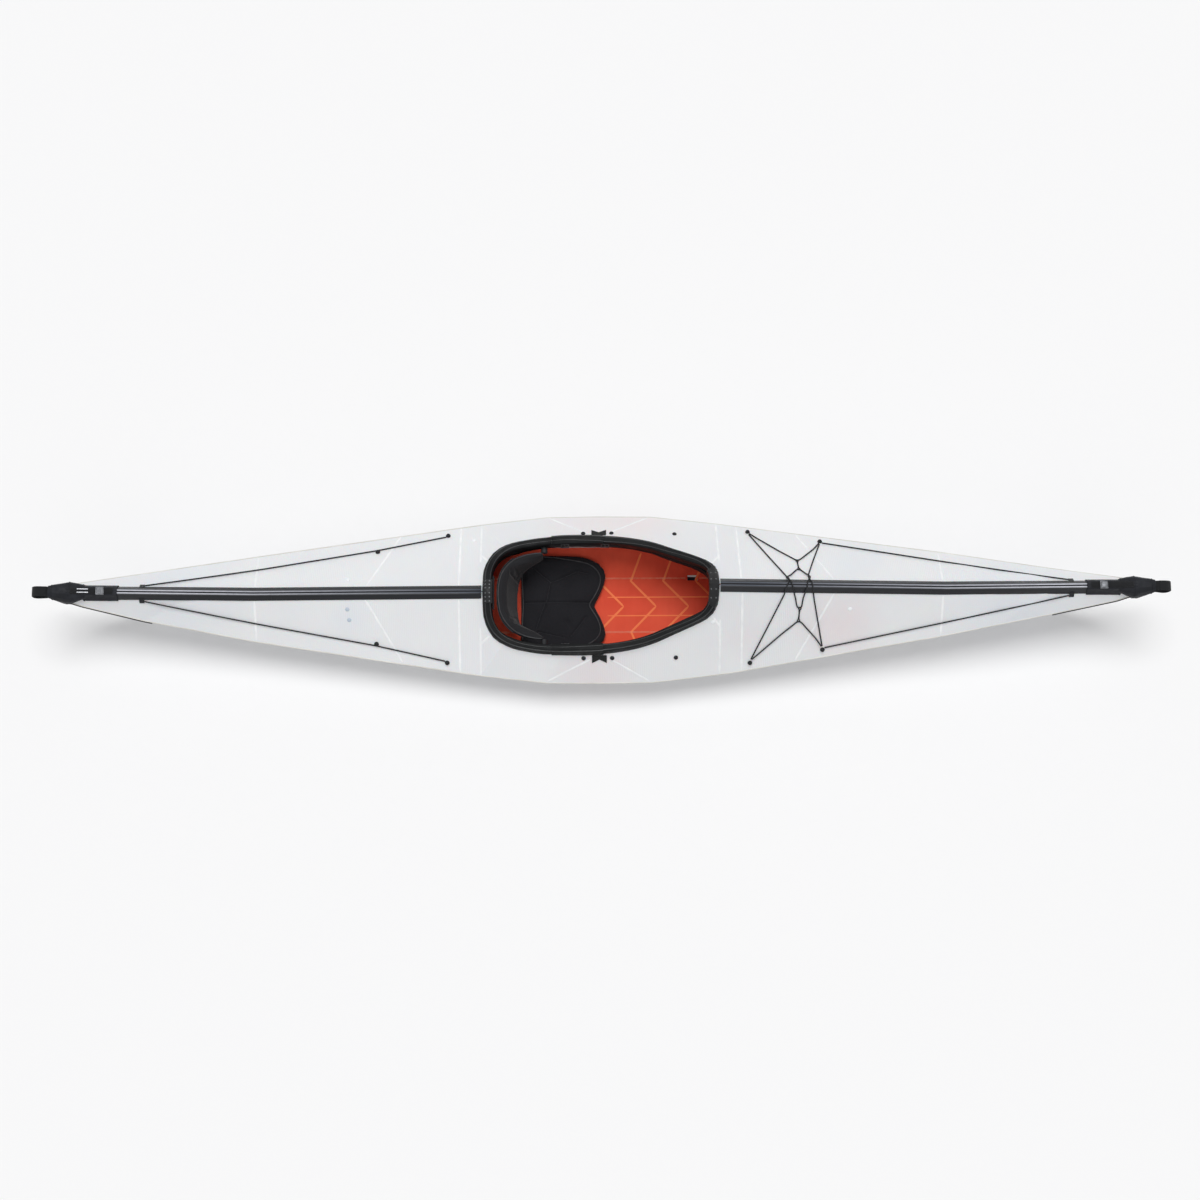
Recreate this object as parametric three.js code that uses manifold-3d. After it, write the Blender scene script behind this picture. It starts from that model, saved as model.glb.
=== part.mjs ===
// A folding kayak: one creased sheet clamped along its deck seam, with coaming, seat,
// floor and rigging as separate pieces. Millimetres, +Z up, bow towards +X, port is +Y.
import * as THREE from 'three';
import { mergeVertices } from 'three/addons/utils/BufferGeometryUtils.js';
import Module from 'manifold-3d';

const wasm = await Module();
wasm.setup();

// Driving dimensions of the hull
const hullLength = 3596;
const hullBeam = 570;
const deckHeight = 358;
const foldX = -8;
const sheetThickness = 5;
const seamWidth = 3;
const stationSpacing = 170;
const endSolid = 178;
const fitGap = 0.3;
const seatGap = 0.3;
const overrun = 10;

// Driving dimensions of the cockpit
const cockpitLength = 774;
const cockpitWidth = 402;
const cockpitCentre = -4;
const rimWidth = 29;
const rimHeight = 12;
const rimEdge = 5;
const rimSink = 3;
const ridgeRound = 12;
const wallDrop = 38;
const wallThickness = 4;
const sleeveRear = -165;
const sleeveFront = 5;
const sleeveProud = 2.5;
const clampProud = 3.5;
const rearClampWidth = 80;
const frontClampWidth = 134;

// Driving dimensions of the deck rails
const railWidth = 44;
const railFlat = 19;
const railRise = 7;
const railGroove = 5;
const railGrooveDepth = 1.5;
const railEdge = 3;
const railShoulder = 10;
const railFootWidth = 24;
const railFootThickness = 3;
const railShort = 112;
const sternAftRail = 600;
const bowForeRail = 608;
const railStartGap = 4;
const eyeLength = 16;
const eyeReach = 9;
const eyeHeight = 9;
const sternEyeBack = 176;
const bowEyeBack = 146;

// Driving dimensions of the end fairings
const tongueLap = 101;
const tongueThickness = 3;
const noseGap = 4;
const noseLength = 122;
const noseWidth = 74;
const noseHeight = 128;
const wingBack = 160;
const wingLap = 35;
const wingDepth = 9;
const wingThickness = 4;
const handleOut = 53;
const handleWidth = 34;
const handleThickness = 5;
const handleHeight = 40;
const bowHandleDroop = 0.32;
const sternHandleDroop = 0.05;
const webWidth = 20;
const webThickness = 2;
const webBack = 90;
const webLap = 48;
const buckleBack = 50;
const buckleLength = 26;
const buckleWidth = 26;
const buckleHeight = 8;
const leverLength = 18;
const leverThickness = 3;
const leverClear = 1.8;

// Driving dimensions of the floor, seat and back
const floorBack = 49;
const floorAhead = 317;
const floorThickness = 5;
const floorFlapReach = 196;
const floorFlapRise = 58;
const slotX = 310;
const slotLength = 36;
const slotWidth = 18;
const slotY = 98;
const seatBack = 68;
const seatLength = 294;
const seatHalfWidth = 172;
const seatThickness = 30;
const seatSwell = 9;
const backClear = 16;
const backDepth = 158;
const backHalfWidth = 156;
const backBottom = 64;
const backHeight = 160;
const backLean = 44;
const backThickness = 22;
const panelThickness = 3.5;
const panelHeight = 90;
const rearStrapWidth = 110;
const rearStrapHeight = 26;
const backPivotReach = 156;
const backPivotZ = 180;
const pivotDiameter = 22;

// Driving dimensions of the bulkheads and footrest
const panelSheet = 8;
const bulkheadClear = 40;
const rearBulkheadHeight = 214;
const rearBulkheadBase = 150;
const frontBulkheadHeight = 272;
const frontBulkheadBase = 118;
const bulkheadTop = 58;
const handHole = 44;
const footrestBack = 90;
const footrestWidth = 210;
const footrestBaseWidth = 140;
const footrestHeight = 132;
const footrestBase = 62;
const footrestSheet = 7;
const footrestLean = 26;
const tapeWidth = 50;
const tapeLength = 190;
const tapeBack = 102;
const tapeThickness = 2.5;

// Driving dimensions of the rigging and fasteners
const cordDiameter = 4.5;
const knobDiameter = 13;
const knobHeight = 9;
const screwDiameter = 15;
const screwHeight = 4.5;
const hookLength = 40;
const hookX = 647;
const hookY = 82;
const hookWidth = 10;
const hookHeight = 5;
const tieLength = 49;
const tieDepth = 22;
const tieNotch = 10;
const tieThickness = 2.5;

// Hull sections from stern to bow. Each row holds, as shares: place along the half length,
// half beam, and gunwale, ridge and keel height of the deck height, bottom half width and
// bilge half width of the half beam, and bilge height of the deck height.
const sectionShares = [
  [-1.0, 0.021, 0.818, 0.846, 0.796, 0.004, 0.012, 0.807],
  [-0.9844, 0.077, 0.774, 0.838, 0.628, 0.007, 0.04, 0.693],
  [-0.9455, 0.14, 0.698, 0.824, 0.391, 0.014, 0.075, 0.531],
  [-0.8343, 0.286, 0.559, 0.779, 0.112, 0.049, 0.168, 0.33],
  [-0.6318, 0.512, 0.436, 0.698, 0.017, 0.161, 0.351, 0.19],
  [-0.2586, 0.87, 0.358, 0.729, 0, 0.335, 0.632, 0.117],
  [-0.2197, 0.905, 0.352, 0.732, 0, 0.335, 0.66, 0.1145],
  [-0.0973, 0.993, 0.349, 0.948, 0, 0.335, 0.719, 0.112],
  [0, 1, 0.349, 1.05, 0, 0.335, 0.719, 0.112],
  [0.0973, 0.993, 0.349, 1.067, 0, 0.335, 0.719, 0.112],
  [0.2197, 0.905, 0.352, 1.0, 0, 0.335, 0.66, 0.1145],
  [0.2586, 0.87, 0.358, 0.983, 0, 0.335, 0.632, 0.117],
  [0.6318, 0.5, 0.517, 0.816, 0.017, 0.161, 0.351, 0.2095],
  [0.8343, 0.268, 0.62, 0.841, 0.112, 0.049, 0.165, 0.349],
  [0.9455, 0.14, 0.712, 0.855, 0.391, 0.014, 0.075, 0.545],
  [0.9844, 0.077, 0.791, 0.8575, 0.628, 0.007, 0.04, 0.704],
  [1.0, 0.021, 0.832, 0.86, 0.81, 0.004, 0.012, 0.821],
];

// Places along the boat that follow from the driving dimensions
const halfLength = hullLength / 2;
const halfBeam = hullBeam / 2;
const cavityRear = foldX - halfLength + endSolid;
const cavityFront = foldX + halfLength - endSolid;
const railEnd = halfLength - railShort;
const sternJoint = railEnd - sternAftRail;
const bowJoint = railEnd - bowForeRail;
const tongueStart = railEnd - tongueLap;
const noseStart = railEnd + noseGap;
const noseEnd = noseStart + noseLength;
const overallLength = (noseEnd + handleOut) * 2;
const buckleX = noseStart - buckleBack;
const rimRear = cockpitCentre - cockpitLength / 2;
const rimFront = cockpitCentre + cockpitLength / 2;
const floorRear = rimRear - floorBack;
const floorFront = rimFront + floorAhead;
const backRear = rimRear + rimWidth + backClear;
const backPivotX = backRear + backPivotReach;
const seatRear = backRear + seatBack;
const tapeX = floorFront - tapeBack;

// Section of the hull at one place along it, read from the shares
function sectionAt(x) {
  const along = THREE.MathUtils.clamp((x - foldX) / halfLength, -1, 1);
  let row = 0;
  while (row < sectionShares.length - 2 && along > sectionShares[row + 1][0]) {
    row += 1;
  }
  const low = sectionShares[row];
  const high = sectionShares[row + 1];
  const t = (along - low[0]) / (high[0] - low[0]);
  const share = (k) => THREE.MathUtils.lerp(low[k], high[k], t);
  return {
    beam: share(1) * halfBeam,
    gunwale: share(2) * deckHeight,
    ridge: share(3) * deckHeight,
    keel: share(4) * deckHeight,
    bottom: share(5) * halfBeam,
    bilge: share(6) * halfBeam,
    bilgeHeight: share(7) * deckHeight,
  };
}

// The places along the hull where its facets meet
function stationsBetween(from, to) {
  const marks = sectionShares.map((row) => foldX + row[0] * halfLength);
  const list = [];
  for (let k = 0; k < marks.length - 1; k += 1) {
    const parts = Math.max(1, Math.round((marks[k + 1] - marks[k]) / stationSpacing));
    for (let n = 0; n < parts; n += 1) {
      list.push(marks[k] + ((marks[k + 1] - marks[k]) * n) / parts);
    }
  }
  list.push(marks[marks.length - 1]);
  return [from, ...list.filter((x) => x > from + fitGap && x < to - fitGap), to];
}

const hullStations = stationsBetween(foldX - halfLength, foldX + halfLength);

// A closed solid through rings of points, with flat outlines that close its two ends
function loft(rings, startFlat, endFlat) {
  const count = rings[0].length;
  const positions = rings.flat().flatMap((p) => [p.x, p.y, p.z]);
  const index = [];
  for (let i = 0; i < rings.length - 1; i += 1) {
    for (let j = 0; j < count; j += 1) {
      const next = (j + 1) % count;
      const a = i * count + j;
      const b = i * count + next;
      const c = (i + 1) * count + next;
      const d = (i + 1) * count + j;
      if (j < Math.floor(count / 2)) {
        index.push(a, b, c, a, c, d);
      } else {
        index.push(a, b, d, b, c, d);
      }
    }
  }
  const last = (rings.length - 1) * count;
  for (const face of orientedFaces(startFlat)) {
    index.push(face[2], face[1], face[0]);
  }
  for (const face of orientedFaces(endFlat)) {
    index.push(last + face[0], last + face[1], last + face[2]);
  }
  const geometry = new THREE.BufferGeometry();
  geometry.setAttribute('position', new THREE.Float32BufferAttribute(positions, 3));
  geometry.setIndex(index);
  return facingOut(geometry);
}

// Triangles of a flat outline, wound the same way as the outline itself
function orientedFaces(flat) {
  const faces = THREE.ShapeUtils.triangulateShape(flat, []);
  return faces.map(([a, b, c]) => {
    const turn = new THREE.Vector2().subVectors(flat[b], flat[a])
      .cross(new THREE.Vector2().subVectors(flat[c], flat[a]));
    return turn * Math.sign(THREE.ShapeUtils.area(flat)) > 0 ? [a, b, c] : [a, c, b];
  });
}

// Turns every face outwards if the solid came out inside out
function facingOut(geometry) {
  const p = geometry.getAttribute('position');
  const index = Array.from(geometry.getIndex().array);
  let volume = 0;
  for (let k = 0; k < index.length; k += 3) {
    const [a, b, c] = [0, 1, 2].map((n) => new THREE.Vector3().fromBufferAttribute(p, index[k + n]));
    volume += a.dot(b.cross(c));
  }
  if (volume < 0) {
    for (let k = 0; k < index.length; k += 3) {
      [index[k + 1], index[k + 2]] = [index[k + 2], index[k + 1]];
    }
  }
  geometry.setIndex(index);
  return geometry;
}

// A solid along X from a function that gives its outline in Y and Z at each place
function loftAlongX(stations, outlineAt) {
  const outlines = stations.map((x) => outlineAt(x));
  const rings = outlines.map((outline, i) => outline.map(([y, z]) => new THREE.Vector3(stations[i], y, z)));
  const flats = outlines.map((outline) => outline.map(([y, z]) => new THREE.Vector2(y, z)));
  return loft(rings, flats[0], flats[flats.length - 1]);
}

function toManifold(geometry) {
  const bare = geometry.clone();
  bare.deleteAttribute('normal');
  bare.deleteAttribute('uv');
  const welded = mergeVertices(bare);
  return new wasm.Manifold(new wasm.Mesh({
    numProp: 3,
    vertProperties: Float32Array.from(welded.getAttribute('position').array),
    triVerts: Uint32Array.from(welded.getIndex().array),
  }));
}

function toGeometry(manifold) {
  const mesh = manifold.getMesh();
  const geometry = new THREE.BufferGeometry();
  geometry.setAttribute('position', new THREE.Float32BufferAttribute(mesh.vertProperties, 3));
  geometry.setIndex(Array.from(mesh.triVerts));
  return geometry;
}

// The main body that is left when cuts shave off slivers beside it
function mainBody(manifold) {
  return manifold.decompose().reduce((big, part) => (part.volume() > big.volume() ? part : big));
}

function cut(geometry, ...tools) {
  const left = tools.reduce((solid, tool) => solid.subtract(toManifold(tool)), toManifold(geometry));
  return toGeometry(mainBody(left));
}

function join(...geometries) {
  return toGeometry(geometries.map(toManifold).reduce((sum, part) => sum.add(part)));
}

function keep(geometry, region) {
  return toGeometry(toManifold(geometry).intersect(toManifold(region)));
}

function boxBetween(x0, x1, y0, y1, z0, z1) {
  const box = new THREE.BoxGeometry(x1 - x0, y1 - y0, z1 - z0);
  return box.translate((x0 + x1) / 2, (y0 + y1) / 2, (z0 + z1) / 2);
}

const palette = {
  sheet: new THREE.MeshStandardMaterial({ color: '#e9ebee', roughness: 0.38, metalness: 0 }),
  rail: new THREE.MeshStandardMaterial({ color: '#23262b', roughness: 0.25, metalness: 0 }),
  rubber: new THREE.MeshStandardMaterial({ color: '#202224', roughness: 0.62, metalness: 0 }),
  plastic: new THREE.MeshStandardMaterial({ color: '#1c1d1f', roughness: 0.4, metalness: 0 }),
  buckle: new THREE.MeshStandardMaterial({ color: '#7b7f84', roughness: 0.35, metalness: 0.6 }),
  web: new THREE.MeshStandardMaterial({ color: '#232425', roughness: 0.85, metalness: 0 }),
  cord: new THREE.MeshStandardMaterial({ color: '#2a2b2d', roughness: 0.8, metalness: 0 }),
  floor: new THREE.MeshStandardMaterial({ color: '#d24a35', roughness: 0.45, metalness: 0 }),
  foam: new THREE.MeshStandardMaterial({ color: '#1b1b1e', roughness: 0.9, metalness: 0 }),
  panel: new THREE.MeshStandardMaterial({ color: '#d9dcdf', roughness: 0.45, metalness: 0 }),
  screw: new THREE.MeshStandardMaterial({ color: '#26282b', roughness: 0.35, metalness: 0.5 }),
};

const kayak = new THREE.Group();

function place(name, geometry, material, parent = kayak) {
  const mesh = new THREE.Mesh(geometry, material);
  mesh.name = name;
  parent.add(mesh);
  return mesh;
}

// Outline of the hull at one place, moved out by grow, which is negative inside the sheet
function hullOutline(x, grow) {
  const s = sectionAt(x);
  const half = [[s.bottom, s.keel], [s.bilge, s.bilgeHeight], [s.beam, s.gunwale]];
  const mirrored = half.map(([y, z]) => [-y, z]).reverse();
  return offsetOutline([...half, [0, s.ridge], ...mirrored], grow);
}

// Moves each edge of an outline that runs upwards on the +Y side out by a distance
function offsetOutline(outline, distance) {
  const count = outline.length;
  const edges = outline.map(([y, z], j) => {
    const [y1, z1] = outline[(j + 1) % count];
    const run = Math.hypot(y1 - y, z1 - z);
    const normal = [(z1 - z) / run, -(y1 - y) / run];
    return { normal, reach: normal[0] * y + normal[1] * z + distance };
  });
  return outline.map((_, j) => {
    const before = edges[(j + count - 1) % count];
    const after = edges[j];
    const det = before.normal[0] * after.normal[1] - before.normal[1] * after.normal[0];
    return [
      (before.reach * after.normal[1] - after.reach * before.normal[1]) / det,
      (before.normal[0] * after.reach - after.normal[0] * before.reach) / det,
    ];
  });
}

// The whole outside of the hull as a solid, grown by a gap
function hullBody(grow) {
  return loftAlongX(hullStations, (x) => hullOutline(x, grow));
}

// The space inside the sheet, drawn in by a distance from its outside
function hullCavity(inset, from, to) {
  return loftAlongX(stationsBetween(from, to), (x) => hullOutline(x, -inset));
}

// Half of the cockpit outline as shares: along the length from the rear, and of the width
const cockpitShares = [
  [0, 0], [0.001, 0.174], [0.011, 0.259], [0.045, 0.368], [0.11, 0.438], [0.181, 0.47],
  [0.252, 0.49], [0.381, 0.5], [0.516, 0.495], [0.594, 0.48], [0.665, 0.455], [0.737, 0.415],
  [0.808, 0.358], [0.879, 0.301], [0.951, 0.239], [0.984, 0.187], [0.998, 0.119], [1, 0],
];

// Closed centre line of the coaming rim, seen from above
const rimCurve = rimCentreLine();

function rimCentreLine() {
  const inset = rimWidth / 2;
  const toPoint = ([along, across], side) => new THREE.Vector3(
    cockpitCentre + (along - 0.5) * (cockpitLength - rimWidth),
    side * across * 2 * (cockpitWidth / 2 - inset),
    0,
  );
  const port = cockpitShares.map((row) => toPoint(row, 1));
  const starboard = cockpitShares.slice(1, -1).reverse().map((row) => toPoint(row, -1));
  return new THREE.CatmullRomCurve3([...port, ...starboard], true, 'catmullrom', 0.5);
}

const rimSteps = 88;

// A place on the rim line, by its share of the way round from the rear, and its way out
function rimSpot(share) {
  const t = ((share % 1) + 1) % 1;
  const tangent = rimCurve.getTangentAt(t);
  const normal = new THREE.Vector3(-tangent.y, tangent.x, 0).normalize();
  return { point: rimCurve.getPointAt(t), normal };
}

// Height and facing of the deck facet under a point
function deckAt(x, y) {
  let i = 0;
  while (i < hullStations.length - 2 && x > hullStations[i + 1]) {
    i += 1;
  }
  const [x0, x1] = [hullStations[i], hullStations[i + 1]];
  const [s0, s1] = [sectionAt(x0), sectionAt(x1)];
  const gunwale = new THREE.Vector3(x0, s0.beam, s0.gunwale);
  const ridge = new THREE.Vector3(x0, 0, s0.ridge);
  const nextGunwale = new THREE.Vector3(x1, s1.beam, s1.gunwale);
  const nextRidge = new THREE.Vector3(x1, 0, s1.ridge);
  const crease = s0.beam * (1 - (x - x0) / (x1 - x0));
  const inside = Math.abs(y) <= crease;
  const corners = inside ? [gunwale, nextRidge, ridge] : [gunwale, nextGunwale, nextRidge];
  const plane = new THREE.Plane().setFromCoplanarPoints(...corners);
  const normal = plane.normal.clone().multiplyScalar(Math.sign(plane.normal.z));
  const offset = plane.constant * Math.sign(plane.normal.z);
  const z = -(normal.x * x + normal.y * Math.abs(y) + offset) / normal.z;
  normal.y *= Math.sign(y) || 1;
  return { z, normal };
}

// Prism of the rim outline moved inwards, that opens the deck over the cockpit
function cockpitOpening(inset) {
  const spots = Array.from({ length: rimSteps }, (_, k) => rimSpot(k / rimSteps));
  const edge = spots.map(({ point, normal }) => point.addScaledVector(normal, -inset));
  const flat = edge.map((p) => new THREE.Vector2(p.x, p.y));
  const low = hullSection.gunwale;
  const high = hullSection.ridge + deckHeight / 2;
  const ringAt = (z) => edge.map((p) => new THREE.Vector3(p.x, p.y, z));
  return loft([ringAt(low), ringAt(high)], flat, flat);
}

const hullSection = sectionAt(foldX);

// The slit between the two deck edges of the folded sheet, fore and aft of the cockpit
function deckSeam(from, to, halfWidth) {
  return loftAlongX(stationsBetween(from, to), (x) => {
    const { ridge } = sectionAt(x);
    const low = ridge - sheetThickness * 4;
    const high = ridge + overrun;
    return [[halfWidth, low], [halfWidth, high], [-halfWidth, high], [-halfWidth, low]];
  });
}

const openingInset = rimWidth / 2 - wallThickness - fitGap * 2;

// The folded sheet itself; grown by a gap it cuts the pieces that seat on it
function hullSheet(grow) {
  const halfSeam = seamWidth / 2 - grow;
  return cut(
    hullBody(grow),
    hullCavity(sheetThickness + grow, cavityRear + grow, cavityFront - grow),
    cockpitOpening(openingInset + grow),
    deckSeam(cavityRear + grow, cockpitCentre, halfSeam),
    deckSeam(cockpitCentre, cavityFront - grow, halfSeam),
  );
}

const sheetWithGap = hullSheet(fitGap);
const bodyWithGap = hullBody(fitGap);
place('hull_sheet', hullSheet(0), palette.sheet);

// Deck rails: a channel that grips both edges of the seam, in two lengths fore and aft
function railOutline(x, grow) {
  const s = sectionAt(x);
  const slope = (s.ridge - s.gunwale) / s.beam;
  const wall = sheetThickness * Math.hypot(1, slope);
  const half = railWidth / 2 + grow;
  const flat = railFlat / 2 + grow;
  const shoulder = (half + flat) / 2;
  const web = seamWidth / 2 - fitGap;
  const foot = railFootWidth / 2;
  const sink = sheetThickness / 2 + grow;
  const top = s.ridge + railRise + grow;
  const side = [
    [foot, s.ridge - wall - slope * foot - railFootThickness],
    [foot, s.ridge - wall - slope * foot],
    [web, s.ridge - wall - slope * web],
    [web, s.ridge - slope * web - sink],
    [half, s.ridge - slope * half - sink],
    [half, s.ridge - slope * half + railEdge + grow],
    [shoulder, s.ridge - slope * shoulder + railShoulder + grow],
    [flat, top],
    [railGroove / 2, top],
  ];
  const mirrored = side.map(([y, z]) => [-y, z]).reverse();
  const low = [0, s.ridge - wall - railFootThickness];
  return [...side, [0, top - railGrooveDepth], ...mirrored, low];
}

function deckRail(from, to, grow) {
  return loftAlongX(stationsBetween(from, to), (x) => railOutline(x, grow));
}

// A small eye moulded on each side of a rail, where a deck line is made fast
function railEyes(x) {
  const s = sectionAt(x);
  const slope = (s.ridge - s.gunwale) / s.beam;
  const outer = railWidth / 2 + eyeReach;
  const inner = railWidth / 2 - railEdge;
  const eyeAt = (side) => loftAlongX([x - eyeLength / 2, x + eyeLength / 2], () => {
    const points = [
      [inner, s.ridge - slope * inner - rimSink],
      [outer, s.ridge - slope * outer - rimSink],
      [outer, s.ridge - slope * outer + eyeHeight / 2],
      [inner, s.ridge - slope * inner + eyeHeight],
    ];
    return points.map(([y, z]) => [side * y, z]);
  });
  return [eyeAt(1), eyeAt(-1)];
}

const railSpans = {
  stern_rail_aft: [-railEnd, -sternJoint - seatGap, sternEyeBack - railEnd],
  stern_rail_fore: [-sternJoint, rimRear - railStartGap, null],
  bow_rail_aft: [rimFront + railStartGap, bowJoint, null],
  bow_rail_fore: [bowJoint + seatGap, railEnd, railEnd - bowEyeBack],
};

for (const [name, [from, to, eyeX]] of Object.entries(railSpans)) {
  const bar = deckRail(from, to, 0);
  const blank = eyeX === null ? bar : join(bar, ...railEyes(eyeX));
  place(name, cut(blank, sheetWithGap), palette.rail);
}

// Coaming: a rim that hooks over the deck edge, with a wall that hangs into the cockpit
function rimOutline(share, proud, outerProud, swell) {
  const { point: p, normal: n } = rimSpot(share);
  const half = rimWidth / 2;
  const heightAt = (u) => deckAt(p.x + n.x * u, p.y + n.y * u).z;
  const softY = Math.hypot(p.y, ridgeRound) - ridgeRound / 2;
  const top = deckAt(p.x, softY).z + rimHeight + proud;
  const inner = -half;
  const wall = inner + wallThickness + swell;
  const low = deckAt(p.x, softY).z - wallDrop;
  const edge = heightAt(half) + rimEdge + proud;
  const bottom = Math.min(low, heightAt(wall) - wallDrop / 2) - swell;
  return [
    [wall, bottom],
    [wall, heightAt(wall) - rimSink - swell],
    [half + outerProud, heightAt(half + outerProud) - rimSink - swell],
    [half + outerProud, edge],
    [half * 0.7, Math.max(edge, top - rimEdge)],
    [half * 0.2, top],
    [inner + wallThickness, top],
    [inner - proud, top - wallThickness],
    [inner - proud, bottom],
  ];
}

function rimSweep(from, to, proud, outerProud = proud, swell = 0) {
  const count = Math.max(2, Math.round((to - from) * rimSteps));
  const shares = Array.from({ length: count + 1 }, (_, k) => from + ((to - from) * k) / count);
  const outlines = shares.map((share) => rimOutline(share, proud, outerProud, swell));
  const rings = outlines.map((outline, i) => outline.map(([u, z]) => {
    const { point, normal } = rimSpot(shares[i]);
    return point.addScaledVector(normal, u).setZ(z);
  }));
  const flats = outlines.map((outline) => outline.map(([u, z]) => new THREE.Vector2(u, z)));
  return loft(rings, flats[0], flats[flats.length - 1]);
}

// Share of the way round the rim, on the port side, where it passes a place along the hull
function rimShareAt(x) {
  let [low, high] = [0, 0.5];
  while (high - low > fitGap / overallLength) {
    const middle = (low + high) / 2;
    [low, high] = rimCurve.getPointAt(middle).x < x ? [middle, high] : [low, middle];
  }
  return (low + high) / 2;
}

const sleeveSpan = [rimShareAt(sleeveRear), rimShareAt(sleeveFront)];
const jointShare = seatGap / rimCurve.getLength();
const rimPieces = {
  coaming_rear: [-sleeveSpan[0], sleeveSpan[0], 0],
  coaming_front: [sleeveSpan[1], 1 - sleeveSpan[1], 0],
  coaming_sleeve_port: [sleeveSpan[0] + jointShare, sleeveSpan[1] - jointShare, sleeveProud],
  coaming_sleeve_starboard: [
    1 - sleeveSpan[1] + jointShare, 1 - sleeveSpan[0] - jointShare, sleeveProud,
  ],
};

for (const [name, [from, to, proud]] of Object.entries(rimPieces)) {
  place(name, cut(rimSweep(from, to, proud), sheetWithGap), palette.rubber);
}

// Clamps that lie over the rim at the two ends of the cockpit, where the halves meet the rails
function rimClamp(middle, width, half) {
  const halfShare = width / 2 / rimCurve.getLength();
  const cover = rimSweep(middle - halfShare, middle + halfShare, clampProud, 0);
  const core = rimSweep(half[0], half[1], fitGap * 3, fitGap * 3, fitGap * 3);
  return cut(cover, core, sheetWithGap);
}

place('coaming_clamp_rear', rimClamp(0, rearClampWidth, rimPieces.coaming_rear), palette.plastic);
place('coaming_clamp_front', rimClamp(0.5, frontClampWidth, rimPieces.coaming_front), palette.plastic);

// End fairings: a moulded cap over each pinched end of the sheet. Rows hold, as shares: place
// along the nose, half width of the nose width, top above the ridge and depth of the nose height.
const noseShares = [
  [0, 0.3, 0.08, 0.3],
  [0.25, 0.42, 0.08, 0.55],
  [0.42, 0.48, 0.08, 0.78],
  [0.62, 0.44, 0.075, 1.0],
  [0.84, 0.35, 0.06, 0.6],
  [1, 0.27, 0.03, 0.34],
];

// Half of the nose section as shares of its half width and of its depth below the top
const noseRoundShares = [[0.3, 0], [0.72, 0.07], [0.95, 0.22], [1, 0.42], [0.82, 0.74], [0.3, 1]];

function noseBody(end) {
  const stations = noseShares.map(([along]) => end * (noseStart + along * (noseEnd - noseStart)));
  return loftAlongX(stations, (x) => {
    const row = noseShares[stations.indexOf(x)];
    const { ridge } = sectionAt(x);
    const half = row[1] * noseWidth;
    const top = ridge + row[2] * noseHeight;
    const side = noseRoundShares.map(([y, z]) => [y * half, top - z * row[3] * noseHeight]);
    return [...side.reverse(), ...side.map(([y, z]) => [-y, z]).reverse()];
  });
}

// The tongue of the fairing that lies over the end of the deck rail
function tongueOutline(x) {
  const rail = railOutline(x, tongueThickness + fitGap * 2);
  const half = Math.floor(rail.length / 2);
  const { ridge } = sectionAt(x);
  const outer = rail.slice(4, half);
  const low = ridge - sheetThickness;
  const side = [[railWidth / 2, low - railWidth / 2], ...outer];
  return [...side, ...side.map(([y, z]) => [-y, z]).reverse()];
}

// Arms that run back from the fairing under each gunwale
function fairingWing(end, side) {
  const span = [end * (noseStart - wingBack), end * (noseStart + wingLap)];
  const stations = stationsBetween(...span.sort((a, b) => a - b));
  return loftAlongX(stations, (x) => {
    const { beam, gunwale } = sectionAt(x);
    const reach = beam + wingThickness / 2;
    const points = [
      [beam - wingThickness * 2, gunwale - wingDepth],
      [reach, gunwale - wingDepth],
      [reach, gunwale],
      [beam - wingThickness, gunwale + wingThickness / 2],
    ];
    return points.map(([y, z]) => [side * y, z]);
  });
}

function fairing(end) {
  const span = [end * tongueStart, end * (noseStart + overrun)].sort((a, b) => a - b);
  const joint = end > 0 ? bowJoint : sternJoint;
  const railSpan = [end * joint, end * (railEnd + fitGap)].sort((a, b) => a - b);
  const tongue = loftAlongX(stationsBetween(...span), tongueOutline);
  const blank = join(noseBody(end), tongue, fairingWing(end, 1), fairingWing(end, -1));
  return cut(blank, bodyWithGap, deckRail(...railSpan, fitGap * 2));
}

// A carry handle: a strap loop in the upright plane, hung from the tip of the fairing
const handleCornerShares = [
  [0, 0.36], [0.62, 0.5], [0.93, 0.36], [1, 0], [0.93, -0.36], [0.62, -0.5], [0, -0.36],
];

function handleLine(reach) {
  const corners = handleCornerShares.map(([x, z]) => new THREE.Vector3(x * reach, 0, z * handleHeight));
  return new THREE.CatmullRomCurve3(corners, false, 'catmullrom', 0.5);
}

// Length of a drooping loop that just fills the room left for it ahead of the fairing
function handleReach(room, droop) {
  const extent = (reach) => Math.max(...handleLine(reach).getSpacedPoints(20).map((p) => (
    p.x * Math.cos(droop) + p.z * Math.sin(droop))));
  let [low, high] = [0, room * 2];
  while (high - low > fitGap / 10) {
    const middle = (low + high) / 2;
    [low, high] = extent(middle) < room ? [middle, high] : [low, middle];
  }
  return low;
}

function handleLoop(reach) {
  const line = handleLine(reach);
  const spots = line.getSpacedPoints(20);
  const rings = spots.map((p, k) => {
    const tangent = line.getTangentAt(k / (spots.length - 1));
    const out = new THREE.Vector3(-tangent.z, 0, tangent.x).multiplyScalar(handleThickness / 2);
    const half = handleWidth / 2;
    const edge = half * 0.86;
    const corner = ([sign, y]) => p.clone().addScaledVector(out, sign).setY(y);
    return [[1, -edge], [0, -half], [-1, -edge], [-1, edge], [0, half], [1, edge]].map(corner);
  });
  const side = handleThickness / 2;
  const half = handleWidth / 2;
  const flat = [[side, -half], [0, -half], [-side, -half], [-side, half], [0, half], [side, half]]
    .map(([y, z], k) => new THREE.Vector2(y, k % 3 === 1 ? z : z * 0.86));
  return loft(rings, flat, flat);
}

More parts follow.
